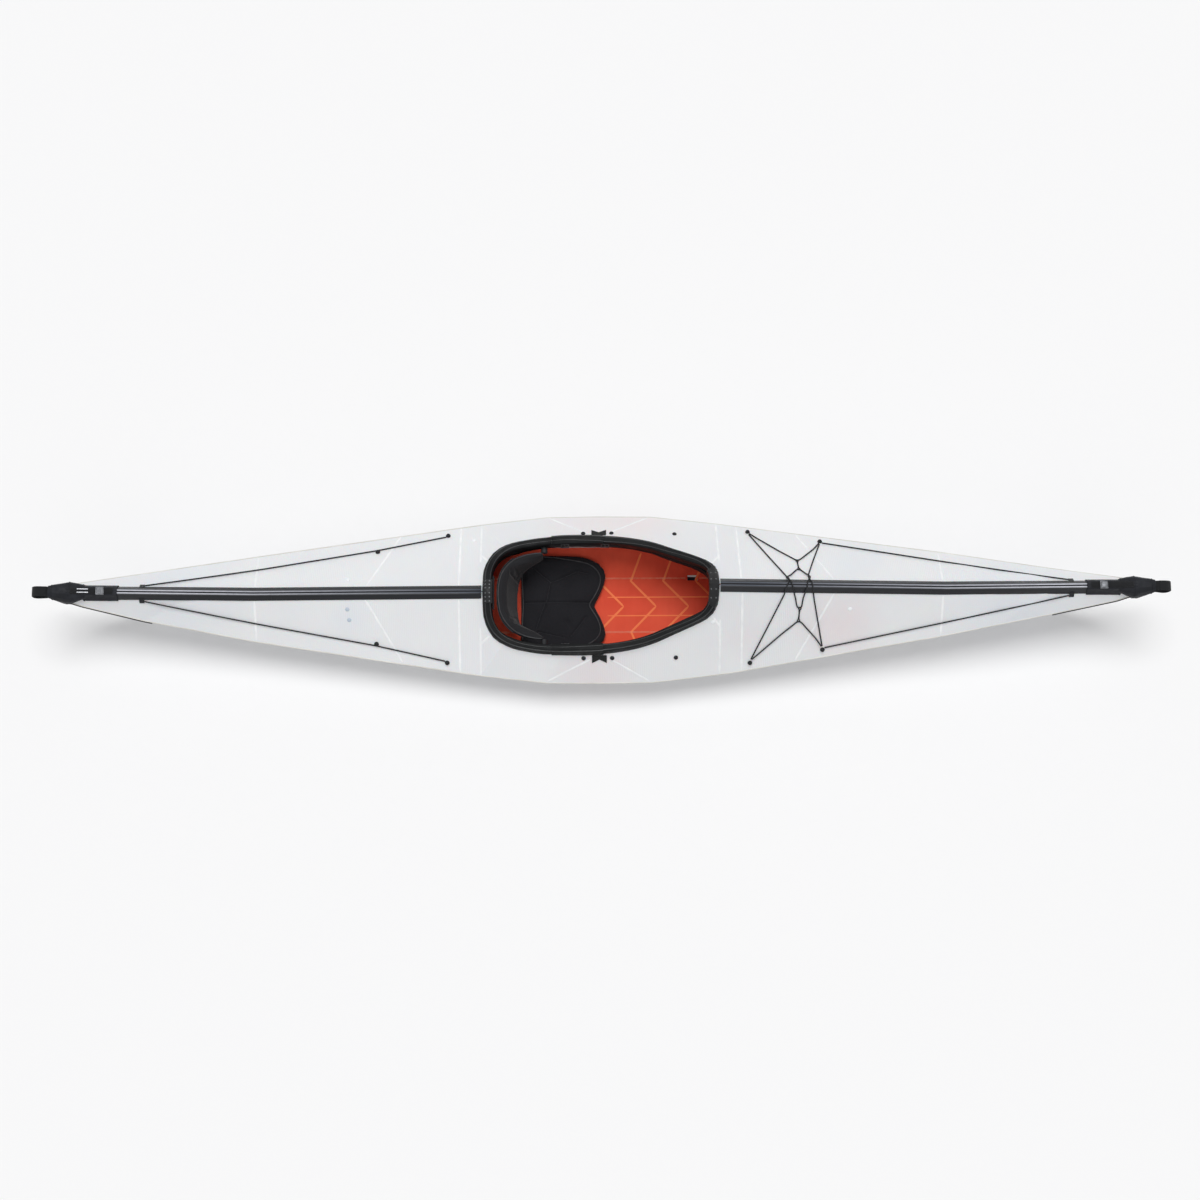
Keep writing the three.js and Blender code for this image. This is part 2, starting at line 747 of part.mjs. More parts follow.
// Small parts of each end ride in a group that carries the slope of the rail there
function railFrame(end, x) {
  const step = stationSpacing / 4;
  const rise = sectionAt(x + end * step).ridge - sectionAt(x - end * step).ridge;
  const group = new THREE.Group();
  group.position.set(x, 0, sectionAt(x).ridge + railRise + tongueThickness + fitGap * 3);
  group.rotation.set(0, -end * Math.atan2(rise, step * 2), 0);
  kayak.add(group);
  return group;
}

const ends = [
  { end: 1, name: 'bow', droop: bowHandleDroop },
  { end: -1, name: 'stern', droop: sternHandleDroop },
];

for (const { end, name, droop } of ends) {
  place(`${name}_fairing`, fairing(end), palette.rubber);
  const rootX = noseEnd + fitGap + (handleHeight / 2) * Math.sin(droop);
  const reach = handleReach(overallLength / 2 - handleThickness / 2 - rootX, droop);
  const handle = place(`${name}_handle`, handleLoop(reach), palette.web);
  const tipHeight = sectionAt(end * noseEnd).ridge - noseHeight * 0.14;
  handle.position.set(end * rootX, 0, tipHeight);
  handle.rotation.set(0, end > 0 ? droop : Math.PI - droop, 0);

  const frame = railFrame(end, end * buckleX);
  const lip = webThickness + fitGap;
  const span = [end * (buckleBack - webBack), end * (buckleBack + webLap)].sort((a, b) => a - b);
  const strap = boxBetween(...span, -webWidth / 2, webWidth / 2, 0, webThickness);
  place(`${name}_strap`, strap, palette.web, frame);
  const front = buckleLength / 2;
  const side = buckleWidth / 2;
  const web = webWidth / 2;
  const floor = lip + leverThickness / 2;
  const hinge = -leverLength / 2;
  const body = boxBetween(-front, front, -side, side, 0, buckleHeight);
  const slot = boxBetween(-front - overrun, front + overrun, -web - fitGap, web + fitGap, -overrun, lip);
  const room = boxBetween(hinge - leverClear, front + overrun, -web, web, floor, buckleHeight + overrun);
  place(`${name}_buckle`, cut(body, slot, room), palette.buckle, frame);
  const half = web - fitGap;
  const lever = boxBetween(hinge, -hinge, -half, half, floor + fitGap, buckleHeight - fitGap);
  place(`${name}_buckle_lever`, lever, palette.buckle, frame);
}

// A round head turned about its own axis, with its base flat on the deck
function roundHead(diameter, height, waistShare) {
  const r = diameter / 2;
  const shares = [[0, 0], [waistShare, 0], [1, 0.35], [0.9, 0.7], [0.5, 0.97], [0, 1]];
  const profile = shares.map(([x, y]) => new THREE.Vector2(x * r, y * height));
  return mergeVertices(bare(new THREE.LatheGeometry(profile, 12).rotateX(Math.PI / 2)));
}

function bare(geometry) {
  geometry.deleteAttribute('normal');
  geometry.deleteAttribute('uv');
  return geometry;
}

// Seats a piece on the deck at a place, its own Z axis square to the deck facet
function seatOnDeck(mesh, x, y) {
  const { z, normal } = deckAt(x, y);
  mesh.position.set(x, y, z).addScaledVector(normal, seatGap);
  mesh.quaternion.setFromUnitVectors(new THREE.Vector3(0, 0, 1), normal);
}

// Screw heads beside the cockpit, as shares of the half length from the fold and of the half beam
const screwShares = {
  screw_rear: [-0.0289, 0.737],
  screw_middle: [0.0234, 0.737],
  screw_front: [0.1402, 0.73],
};

// Knobs that hold the deck lines, as the same shares
const knobShares = {
  knob_stern_mid: [-0.4099, 0.537],
  knob_stern_end: [-0.2803, 0.7475],
  knob_bow_rear: [0.277, 0.765],
  knob_bow_front: [0.4099, 0.628],
};

const deckSpot = ([along, across]) => [foldX + along * halfLength, across * halfBeam];

for (const [side, sign] of [['port', 1], ['starboard', -1]]) {
  for (const [name, shares] of Object.entries(screwShares)) {
    const [x, y] = deckSpot(shares);
    const screw = place(`${name}_${side}`, roundHead(screwDiameter, screwHeight, 1), palette.screw);
    seatOnDeck(screw, x, sign * y);
  }
  for (const [name, shares] of Object.entries(knobShares)) {
    const [x, y] = deckSpot(shares);
    const knob = place(`${name}_${side}`, roundHead(knobDiameter, knobHeight, 0.6), palette.plastic);
    seatOnDeck(knob, x, sign * y);
  }
}

// Side ties: notched tabs that draw the two cheeks of the deck to the coaming
const tieShares = [[-0.5, 0], [-0.5, 1], [0, 1], [0.5, 1], [0.5, 0]];

function sideTie(side) {
  const start = cockpitWidth / 2 + sleeveProud + fitGap;
  const flat = tieShares.map(([x, y]) => {
    const notch = x === 0 ? tieNotch : 0;
    return new THREE.Vector2(foldX + x * tieLength, side * (start + y * tieDepth - notch));
  });
  const ringAt = (lift) => flat.map((p) => new THREE.Vector3(p.x, p.y, deckAt(p.x, p.y).z + lift));
  return cut(loft([ringAt(-tieThickness), ringAt(tieThickness * 1.6)], flat, flat), bodyWithGap);
}

place('side_tie_port', sideTie(1), palette.web);
place('side_tie_starboard', sideTie(-1), palette.web);

// Cord routes over the deck. Each point: place along, place across, rise above the deck.
const cordRoutes = {
  stern_line: [
    [-518.9, 211.3, 3.4], [-737, 163.9, 3.4], [-745, 162.3, 3.4], [-753, 160.6, 3.4], [-1501.2, 27, 3.6],
  ],
  bow_line: [[735.9, 177.8, 3.4], [1531.2, 27, 3.6]],
  bow_cross: [
    [495.6, 213.8, 9], [520, 195, 5], [590, 141, 3.4], [635, 109, 3.4], [641, 104.8, 3.4], [647, 103.3, 3.4],
    [653, 104.8, 3.4], [659, 109, 3.4], [705, 151, 4.2], [724.1, 174.3, 9],
  ],
};

const aftLattice = [
  [493.9, 211.7, 2.6], [555, 113, 3.4], [604, 36, 4.2], [611, 26, 6.5], [613, 19, 13], [611, 11, 19.6],
  [600, -11, 19.6], [598, -19, 13], [596, -27, 6.5], [590, -38, 4.2], [541, -127, 3.4], [493.3, -212, 2.6],
];
const foreLattice = [
  [726.6, 172.6, 2.6], [700, 105, 3.4], [678, 44, 4.2], [677.5, 27, 6.5], [680.5, 19, 13], [684, 11, 19.6],
  [688, -11, 19.6], [690, -19, 13], [691.5, -27, 6.5],
  [694, -38, 4.2], [711, -107, 3.4], [727.5, -172.4, 2.6],
];
const centreLoop = [
  [641, 63.5, 3.4], [647, 65.1, 3.4], [653, 63.5, 3.4], [660, 56, 5], [669, 46, 8], [677, 39, 12.5],
  [681.5, 33, 14], [681, 27, 17], [676, 19, 22], [671, 11, 21], [668, -11, 20.6], [665, -19, 14],
  [662, -27, 7], [658, -38, 4.4], [655, -58, 3.6], [653, -63.5, 3.4], [647, -65.1, 3.4], [641, -63.5, 3.4],
  [638, -58, 3.6], [633, -38, 4.4], [629, -27, 7], [626, -19, 14], [623, -11, 20.6], [619, 0, 15],
  [614.5, 11, 28], [607, 19, 22], [602.5, 25, 17], [606, 30.5, 13.5], [618, 39, 9], [632, 54, 5],
];

const cordStep = 95;
const cordSides = 8;

// Points of a route laid on the deck, with long stretches divided so that they follow it
function deckRoute(route, side, closed) {
  const legs = closed ? [...route, route[0]] : route;
  const points = [];
  for (let k = 0; k < legs.length - 1; k += 1) {
    const [x0, y0, r0] = legs[k];
    const [x1, y1, r1] = legs[k + 1];
    const parts = Math.max(1, Math.round(Math.hypot(x1 - x0, y1 - y0) / cordStep));
    for (let n = 0; n < parts; n += 1) {
      const t = n / parts;
      const x = x0 + (x1 - x0) * t;
      const y = side * (y0 + (y1 - y0) * t);
      points.push(new THREE.Vector3(x, y, deckAt(x, y).z + r0 + (r1 - r0) * t));
    }
  }
  if (!closed) {
    const [x, y, rise] = legs[legs.length - 1];
    points.push(new THREE.Vector3(x, side * y, deckAt(x, side * y).z + rise));
  }
  return points;
}

// A round cord with one ring of its surface at each point of its line
function cordTube(points, closed) {
  const count = points.length;
  const at = (k) => points[closed ? (k + count) % count : THREE.MathUtils.clamp(k, 0, count - 1)];
  let out = new THREE.Vector3(0, 0, 1);
  const rings = points.map((p, k) => {
    const tangent = new THREE.Vector3().subVectors(at(k + 1), at(k - 1)).normalize();
    out = out.clone().addScaledVector(tangent, -out.dot(tangent)).normalize();
    const across = new THREE.Vector3().crossVectors(tangent, out);
    return Array.from({ length: cordSides }, (_, n) => {
      const angle = (n / cordSides) * Math.PI * 2;
      const radius = cordDiameter / 2;
      return p.clone()
        .addScaledVector(out, Math.cos(angle) * radius)
        .addScaledVector(across, Math.sin(angle) * radius);
    });
  });
  const flat = Array.from({ length: cordSides }, (_, n) => {
    const angle = (n / cordSides) * Math.PI * 2;
    return new THREE.Vector2(Math.cos(angle), Math.sin(angle));
  });
  return closed ? closedLoft(rings) : loft(rings, flat, flat);
}

// A ring-shaped solid through rings of points, the last joined to the first
function closedLoft(rings) {
  const count = rings[0].length;
  const index = rings.flatMap((_, i) => rings[0].flatMap((__, j) => {
    const a = i * count + j;
    const b = i * count + ((j + 1) % count);
    const c = ((i + 1) % rings.length) * count + ((j + 1) % count);
    const d = ((i + 1) % rings.length) * count + j;
    return [a, b, c, a, c, d];
  }));
  const geometry = new THREE.BufferGeometry();
  const positions = rings.flat().flatMap((p) => [p.x, p.y, p.z]);
  geometry.setAttribute('position', new THREE.Float32BufferAttribute(positions, 3));
  geometry.setIndex(index);
  return facingOut(geometry);
}

function deckCord(name, route, side, closed) {
  place(name, cut(cordTube(deckRoute(route, side, closed), closed), bodyWithGap), palette.cord);
}

for (const [side, sign] of [['port', 1], ['starboard', -1]]) {
  deckCord(`stern_line_${side}`, cordRoutes.stern_line, sign, false);
  deckCord(`bow_line_${side}`, cordRoutes.bow_line, sign, false);
  deckCord(`bow_cross_${side}`, cordRoutes.bow_cross, sign, false);
  const hook = place(`cord_hook_${side}`, new THREE.BoxGeometry(hookWidth, hookLength, hookHeight)
    .translate(0, 0, hookHeight / 2), palette.plastic);
  seatOnDeck(hook, hookX, sign * hookY);
}
deckCord('lattice_cord_aft', aftLattice, 1, false);
deckCord('lattice_cord_fore', foreLattice, 1, false);
deckCord('centre_loop', centreLoop, 1, true);

// Floorboard: one sheet that lies in the bottom of the hull, its sides turned up on creases
const floorFacets = [5, 12].map((row) => foldX + sectionShares[row][0] * halfLength);

function floorboard() {
  const under = sheetThickness + fitGap;
  const slab = cut(hullCavity(under, ...floorFacets), hullCavity(under + floorThickness, ...floorFacets));
  const region = boxBetween(floorRear, floorFront, -floorFlapReach, floorFlapReach, -overrun, floorFlapRise);
  const slot = boxBetween(
    slotX - slotLength / 2, slotX + slotLength / 2, slotY - slotWidth / 2, slotY + slotWidth / 2,
    -overrun, floorFlapRise,
  );
  return cut(keep(slab, region), slot);
}

place('floorboard', floorboard(), palette.floor);

const floorTopInset = sheetThickness + fitGap + floorThickness;

// Height of the top of the floorboard at a place
function floorAt(x, y) {
  const [[bottomY, bottomZ], [bilgeY, bilgeZ]] = hullOutline(x, -floorTopInset);
  const beyond = Math.max(0, Math.abs(y) - bottomY);
  return bottomZ + (beyond * (bilgeZ - bottomZ)) / (bilgeY - bottomY);
}

// Seat pad: crowned foam with two thigh lobes, drawn-in sides and sewn channels. Half of its
// outline as shares of its length from the rear and of its half width.
const seatShares = [
  [0, 0], [0, 0.3], [0, 0.58], [0.008, 0.8], [0.06, 0.95], [0.2, 1], [0.36, 1], [0.52, 1], [0.68, 0.99],
  [0.82, 0.95], [0.92, 0.86], [0.985, 0.73], [1, 0.6], [0.985, 0.44], [0.945, 0.24], [0.885, 0],
];
const seatRingShares = [0.3, 0.55, 0.76, 0.9, 0.97, 1];
const seatCrownShares = [1, 0.98, 0.93, 0.85, 0.72, 0.4];

function seatPad() {
  const half = seatShares.map(([x, y]) => [seatRear + x * seatLength, y * seatHalfWidth]);
  const outline = [...half, ...half.slice(1, -1).reverse().map(([x, y]) => [x, -y])];
  const centreX = seatRear + seatLength * 0.46;
  const spot = (point, share) => [centreX + (point[0] - centreX) * share, point[1] * share];
  const channel = ([x, y]) => {
    const middle = Math.exp(-((y / seatSwell) ** 2));
    const along = Math.abs(y) * 0.62 + (centreX - x) - seatLength * 0.04;
    const rib = Math.exp(-((along / seatSwell) ** 2));
    return Math.max(middle, rib) * seatThickness * 0.16;
  };
  const topAt = (point, crown) => floorAt(...point) + seatGap + crown * seatThickness - channel(point);
  const rings = seatRingShares.map((share, k) => outline.map((point) => {
    const p = spot(point, share);
    return new THREE.Vector3(p[0], p[1], topAt(p, seatCrownShares[k]));
  }));
  const lowRing = outline.map((point) => {
    const p = spot(point, 0.96);
    return new THREE.Vector3(p[0], p[1], floorAt(...p) - seatGap * 4);
  });
  const all = [...rings, lowRing];
  const flatOf = (share) => outline.map((point) => new THREE.Vector2(...spot(point, share)));
  const blank = loft(all, flatOf(seatRingShares[0]), flatOf(0.96));
  return keep(blank, hullCavity(floorTopInset + seatGap, ...floorFacets));
}

const seat = new THREE.Group();
kayak.add(seat);
place('seat_pad', seatPad(), palette.foam, seat);

// Backrest: a padded band bent round the paddler, leaning out towards its top
const backPower = 2.6;

function backSpot(share, offset) {
  const half = backHalfWidth - backThickness / 2;
  const y = half * share;
  const bend = 1 - (1 - Math.abs(share) ** backPower) ** (1 / backPower);
  const x = backRear + backThickness / 2 + bend * backDepth;
  const nextShare = share + Math.sign(-share || -1) * 0.01;
  const nextBend = 1 - (1 - Math.abs(nextShare) ** backPower) ** (1 / backPower);
  const step = new THREE.Vector3((nextBend - bend) * backDepth, half * (nextShare - share), 0).normalize();
  const out = new THREE.Vector3(-Math.abs(step.y), Math.sign(y) * Math.abs(step.x), 0).normalize();
  return new THREE.Vector3(x, y, 0).addScaledVector(out, offset);
}

// How far the band stands in from its top edge at a height
function leanAt(z) {
  return ((z - backBottom) / backHeight - 1) * backLean;
}

const backSteps = 26;
const padShares = [
  [-0.34, 0], [0.34, 0], [0.5, 0.1], [0.5, 0.9], [0.3, 1], [-0.3, 1], [-0.5, 0.9], [-0.5, 0.1],
];

// Sweep round the back from shares of thickness and height, up to a share of its half way round
function backSweep(shares, thickness, offset, lowShare, highShare, reach) {
  const rings = Array.from({ length: backSteps + 1 }, (_, k) => {
    const turn = (k / backSteps) * 2 - 1;
    const share = Math.sin((turn * Math.PI * reach) / 2) * 0.999;
    const fade = Math.abs(share) ** 3;
    const low = backBottom + fade * backHeight * 0.42;
    const high = backBottom + backHeight - fade * backHeight * 0.18;
    return shares.map(([u, v]) => {
      const rise = lowShare + v * (highShare - lowShare);
      const z = low + rise * (high - low);
      return backSpot(share, offset + u * thickness + leanAt(z)).setZ(z);
    });
  });
  const flat = shares.map(([u, v]) => new THREE.Vector2(u * thickness, v * backHeight));
  return loft(rings, flat, flat);
}

const back = new THREE.Group();
kayak.add(back);
place('backrest_pad', backSweep(padShares, backThickness, 0, 0, 1, 1), palette.foam, back);
const plateShares = [[-0.5, 0], [0.5, 0], [0.5, 1], [-0.5, 1]];
const plateOffset = (backThickness + panelThickness) / 2 + seatGap;
const plateTop = 0.95;
const plateLow = plateTop - panelHeight / backHeight;
const plate = backSweep(plateShares, panelThickness, plateOffset, plateLow, plateTop, 0.62);
place('backrest_panel', plate, palette.plastic, back);

// Buttons on the coaming wall that the arms of the backrest turn on
for (const [side, sign] of [['port', 1], ['starboard', -1]]) {
  const { point, normal } = rimSpot(sign * rimShareAt(backPivotX - pivotDiameter / 2));
  const wall = Math.abs(point.y) - Math.abs(normal.y) * (rimWidth / 2) - seatGap;
  const inner = backHalfWidth + leanAt(backPivotZ + pivotDiameter / 3) + seatGap * 2;
  const button = new THREE.CylinderGeometry(pivotDiameter / 2, pivotDiameter / 2, wall - inner, 16);
  const mesh = place(`backrest_button_${side}`, bare(button), palette.plastic);
  mesh.position.set(backPivotX, sign * (wall + inner) / 2, backPivotZ);
}

// Rear strap: a flat band on the coaming wall behind the backrest
const strapWall = rimRear + rimWidth + clampProud + seatGap;
const strapDepth = backRear - panelThickness - seatGap - strapWall;
const strapTop = sectionAt(rimRear + rimWidth).ridge;
place('backrest_strap', boxBetween(
  strapWall, strapWall + strapDepth / 2, -rearStrapWidth / 2, rearStrapWidth / 2,
  strapTop - rearStrapHeight * 2, strapTop - rearStrapHeight,
), palette.web);

// Bulkheads: upright panels that prop the deck ridge and fold down on their lower edge
function bulkheadPanel(base, height) {
  const shape = new THREE.Shape();
  shape.moveTo(-base / 2, 0);
  shape.lineTo(base / 2, 0);
  shape.lineTo(base / 2, height * 0.35);
  shape.lineTo(bulkheadTop / 2, height);
  shape.lineTo(-bulkheadTop / 2, height);
  shape.lineTo(-base / 2, height * 0.35);
  shape.closePath();
  const hole = new THREE.Path();
  hole.absellipse(0, height * 0.55, handHole / 2, handHole / 2, 0, Math.PI * 2, false, 0);
  shape.holes.push(hole);
  const form = { depth: panelSheet, bevelEnabled: false, curveSegments: 10 };
  const panel = new THREE.ExtrudeGeometry(shape, form);
  return bare(panel.rotateX(Math.PI / 2).rotateZ(Math.PI / 2));
}

function standBulkhead(name, x, base, height) {
  const mesh = place(name, bulkheadPanel(base, height), palette.panel);
  const floor = Math.max(...[x - panelSheet, x + panelSheet].map((at) => sectionAt(at).keel));
  mesh.position.set(x, 0, floor + sheetThickness + seatGap);
}

standBulkhead('rear_bulkhead', floorRear - bulkheadClear, rearBulkheadBase, rearBulkheadHeight);
standBulkhead('front_bulkhead', floorFront + bulkheadClear, frontBulkheadBase, frontBulkheadHeight);

// Footrest: a bent panel that slides on a strip fixed along the floorboard
const footSlope = Math.atan2(
  sectionAt(tapeX + tapeLength / 2).keel - sectionAt(tapeX - tapeLength / 2).keel,
  tapeLength,
);
const track = new THREE.Group();
track.position.set(tapeX, 0, floorAt(tapeX, 0) + seatGap);
track.rotation.set(0, -footSlope, 0);
kayak.add(track);
place('footrest_strip', boxBetween(
  -tapeLength / 2, tapeLength / 2, -tapeWidth / 2, tapeWidth / 2, 0, tapeThickness,
), palette.web, track);

function footrestPanel() {
  const face = new THREE.Shape();
  face.moveTo(-footrestBaseWidth / 2, 0);
  face.lineTo(footrestBaseWidth / 2, 0);
  face.lineTo(footrestWidth / 2, footrestHeight * 0.5);
  face.lineTo(footrestWidth / 2, footrestHeight);
  face.lineTo(-footrestWidth / 2, footrestHeight);
  face.lineTo(-footrestWidth / 2, footrestHeight * 0.5);
  face.closePath();
  const upright = new THREE.ExtrudeGeometry(face, { depth: footrestSheet, bevelEnabled: false });
  upright.rotateX(Math.PI / 2).rotateZ(Math.PI / 2);
  const shear = new THREE.Matrix4().set(
    1, 0, footrestLean / footrestHeight, 0, 0, 1, 0, 0, 0, 0, 1, 0, 0, 0, 0, 1,
  );
  upright.applyMatrix4(shear);
  const foot = boxBetween(0, footrestBase, -footrestBaseWidth / 2, footrestBaseWidth / 2, 0, footrestSheet);
  return join(bare(upright), bare(foot));
}

const footrest = place('footrest', footrestPanel(), palette.panel, track);
footrest.position.set(tapeBack - footrestBack - footrestBase / 2, 0, tapeThickness + seatGap);

export default kayak;
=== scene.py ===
import math

import bmesh
import bpy
from mathutils import Matrix, Vector, noise
from mathutils.bvhtree import BVHTree


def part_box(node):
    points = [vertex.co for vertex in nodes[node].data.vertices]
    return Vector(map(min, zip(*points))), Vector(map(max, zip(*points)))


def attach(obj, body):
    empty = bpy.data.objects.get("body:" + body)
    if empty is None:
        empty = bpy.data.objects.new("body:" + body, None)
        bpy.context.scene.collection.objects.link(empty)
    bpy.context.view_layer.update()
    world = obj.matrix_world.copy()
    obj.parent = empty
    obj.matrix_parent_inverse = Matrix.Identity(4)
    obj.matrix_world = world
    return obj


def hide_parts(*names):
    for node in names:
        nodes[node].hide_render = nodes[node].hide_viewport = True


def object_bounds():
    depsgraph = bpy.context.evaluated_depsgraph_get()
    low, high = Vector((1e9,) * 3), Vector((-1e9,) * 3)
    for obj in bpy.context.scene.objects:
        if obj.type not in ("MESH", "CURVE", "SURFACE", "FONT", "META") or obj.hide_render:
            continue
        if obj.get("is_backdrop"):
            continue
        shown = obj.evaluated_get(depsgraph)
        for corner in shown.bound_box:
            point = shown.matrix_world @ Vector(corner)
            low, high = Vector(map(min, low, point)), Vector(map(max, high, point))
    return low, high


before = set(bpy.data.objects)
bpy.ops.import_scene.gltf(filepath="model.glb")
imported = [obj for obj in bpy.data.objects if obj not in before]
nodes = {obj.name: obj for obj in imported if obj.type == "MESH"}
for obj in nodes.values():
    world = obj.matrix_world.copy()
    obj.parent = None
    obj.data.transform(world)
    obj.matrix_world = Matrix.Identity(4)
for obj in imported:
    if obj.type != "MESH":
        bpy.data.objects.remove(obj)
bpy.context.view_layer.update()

scene = bpy.context.scene
scene.view_settings.view_transform = "Standard"


# Camera: the boat is looked down on from 8 m, tilted 12 degrees towards its starboard side,
# with the bow to the right.
def place_camera():
    tilt = math.radians(12.0)
    roll = 0.0052
    reach = 8.0
    shift_level, shift_rise = 0.005, 0.0067
    target = Vector((0.0, 0.0, 0.150))
    back = Vector((0.0, -math.sin(tilt), math.cos(tilt)))
    level = Vector((1.0, 0.0, 0.0))
    rise = Vector((0.0, math.cos(tilt), math.sin(tilt)))
    right = level * math.cos(roll) - rise * math.sin(roll)
    up = level * math.sin(roll) + rise * math.cos(roll)
    place = target + back * reach - level * shift_level - rise * shift_rise
    data = bpy.data.cameras.new("camera")
    data.lens = 72.06
    data.sensor_width = 36.0
    data.clip_end = 200.0
    camera = bpy.data.objects.new("camera", data)
    scene.collection.objects.link(camera)
    axes = Matrix((right, up, back)).transposed()
    camera.matrix_world = Matrix.Translation(place) @ axes.to_4x4()
    scene.camera = camera


place_camera()


# Studio: a plain pale floor under an even sky, a soft key light from the port side and a softer
# fill from starboard. The camera, glossy and transmission rays see a pale wall.
def put(tree, kind, inputs=None, **settings):
    """Adds a node, links or sets its inputs and sets its properties."""
    node = tree.nodes.new(kind)
    for key, value in settings.items():
        setattr(node, key, value)
    for key, value in (inputs or {}).items():
        if isinstance(value, bpy.types.NodeSocket):
            tree.links.new(value, node.inputs[key])
        else:
            node.inputs[key].default_value = value
    return node


def maths(tree, operation, *values):
    return put(tree, "ShaderNodeMath", dict(enumerate(values)), operation=operation).outputs[0]


def new_skin(name, colour, roughness, specular=0.5, **settings):
    """A plain material; its tree and shader come back with it."""
    skin = bpy.data.materials.new(name)
    skin.use_nodes = True
    skin.diffuse_color = (*colour, 1.0)
    shader = skin.node_tree.nodes["Principled BSDF"]
    shader.inputs["Base Color"].default_value = (*colour, 1.0)
    shader.inputs["Roughness"].default_value = roughness
    shader.inputs["Specular IOR Level"].default_value = specular
    for key, value in settings.items():
        shader.inputs[key.replace("_", " ")].default_value = value
    return skin, skin.node_tree, shader


def light_studio():
    world = bpy.data.worlds.new("studio sky")
    scene.world = world
    world.use_nodes = True
    tree = world.node_tree
    tree.nodes.clear()
    sky = put(tree, "ShaderNodeBackground", {"Color": (1.0, 1.0, 1.0, 1.0), "Strength": 0.385})
    wall = put(tree, "ShaderNodeBackground", {"Color": (0.93, 0.93, 0.935, 1.0)})
    ray = put(tree, "ShaderNodeLightPath").outputs
    either = maths(tree, "MAXIMUM", ray["Is Camera Ray"], ray["Is Glossy Ray"])
    seen = maths(tree, "MAXIMUM", either, ray["Is Transmission Ray"])
    mix = put(tree, "ShaderNodeMixShader", {0: seen, 1: sky.outputs[0], 2: wall.outputs[0]})
    put(tree, "ShaderNodeOutputWorld", {0: mix.outputs[0]})

    for name, tilt, strength, spread in (("key", -17.0, 1.80, 34.0), ("fill", 40.0, 0.40, 60.0)):
        data = bpy.data.lights.new(name, "SUN")
        data.energy = strength
        data.angle = math.radians(spread)
        lamp = bpy.data.objects.new(name, data)
        scene.collection.objects.link(lamp)
        lamp.rotation_euler = (math.radians(tilt), 0.0, 0.0)

    bpy.ops.mesh.primitive_plane_add(size=60.0)
    floor = bpy.context.object
    floor.name = "studio_floor"
    floor.data.materials.append(new_skin("studio floor", (0.915, 0.915, 0.92), 1.0, 0.0)[0])
    floor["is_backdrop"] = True


light_studio()


# Hull: one sheet of white corrugated polypropylene, 5 mm thick, creased by hand into a flat
# bottom, bilges, sides and deck. Its two long edges meet under the rails along the middle of
# the deck, and everything else is fastened to it.
# Rows from stern to bow, in metres: place, half beam, gunwale height, ridge height, keel
# height, half width of the bottom, half width at the bilge, height of the bilge.
hull_rows = (
    (-1.8060, 0.0060, 0.2928, 0.3029, 0.2850, 0.0011, 0.0034, 0.2889),
    (-1.7780, 0.0219, 0.2771, 0.3000, 0.2248, 0.0020, 0.0114, 0.2481),
    (-1.7080, 0.0399, 0.2499, 0.2950, 0.1400, 0.0040, 0.0214, 0.1901),
    (-1.5081, 0.0815, 0.2001, 0.2789, 0.0401, 0.0140, 0.0479, 0.1181),
    (-1.1440, 0.1459, 0.1561, 0.2499, 0.0061, 0.0459, 0.1000, 0.0680),
    (-0.4730, 0.2479, 0.1282, 0.2610, 0.0000, 0.0955, 0.1801, 0.0419),
    (-0.4030, 0.2579, 0.1260, 0.2621, 0.0000, 0.0955, 0.1881, 0.0410),
    (-0.1829, 0.2830, 0.1249, 0.3394, 0.0000, 0.0955, 0.2049, 0.0401),
    (-0.0080, 0.2850, 0.1249, 0.3759, 0.0000, 0.0955, 0.2049, 0.0401),
    (0.1669, 0.2830, 0.1249, 0.3820, 0.0000, 0.0955, 0.2049, 0.0401),
    (0.3870, 0.2579, 0.1260, 0.3580, 0.0000, 0.0955, 0.1881, 0.0410),
    (0.4570, 0.2479, 0.1282, 0.3519, 0.0000, 0.0955, 0.1801, 0.0419),
    (1.1280, 0.1425, 0.1851, 0.2921, 0.0061, 0.0459, 0.1000, 0.0750),
    (1.4921, 0.0764, 0.2220, 0.3011, 0.0401, 0.0140, 0.0470, 0.1249),
    (1.6920, 0.0399, 0.2549, 0.3061, 0.1400, 0.0040, 0.0214, 0.1951),
    (1.7620, 0.0219, 0.2832, 0.3070, 0.2248, 0.0020, 0.0114, 0.2520),
    (1.7900, 0.0060, 0.2979, 0.3079, 0.2900, 0.0011, 0.0034, 0.2939),
)
# Places on a surface are found with rays, cast straight down from above it
down = Vector((0.0, 0.0, -1.0))
above_boat = 0.9
same_place = 0.00002
flute_scale, flute_height_share, sheet_relief = 52.0, 0.12, 0.0016


def hull_section(x):
    """A row like those above, for any place along the boat."""
    for low, high in zip(hull_rows, hull_rows[1:]):
        if x <= high[0]:
            share = max(0.0, (x - low[0]) / (high[0] - low[0]))
            return [a + (b - a) * share for a, b in zip(low, high)]
    return list(hull_rows[-1])


def new_piece(name, places, faces, sharp=30.0):
    data = bpy.data.meshes.new(name)
    data.from_pydata([tuple(p) for p in places], [], faces)
    data.validate()
    data.shade_smooth()
    data.set_sharp_from_angle(angle=math.radians(sharp))
    piece = bpy.data.objects.new(name, data)
    scene.collection.objects.link(piece)
    return piece


def clean_copy(node, name, sharp=30.0):
    """A copy of a CAD node with its loose triangles joined."""
    mesh = bmesh.new()
    mesh.from_mesh(nodes[node].data)
    bmesh.ops.remove_doubles(mesh, verts=mesh.verts, dist=same_place)
    mesh.verts.index_update()
    places = [v.co.copy() for v in mesh.verts]
    faces = [[v.index for v in f.verts] for f in mesh.faces]
    mesh.free()
    return new_piece(name, places, faces, sharp)


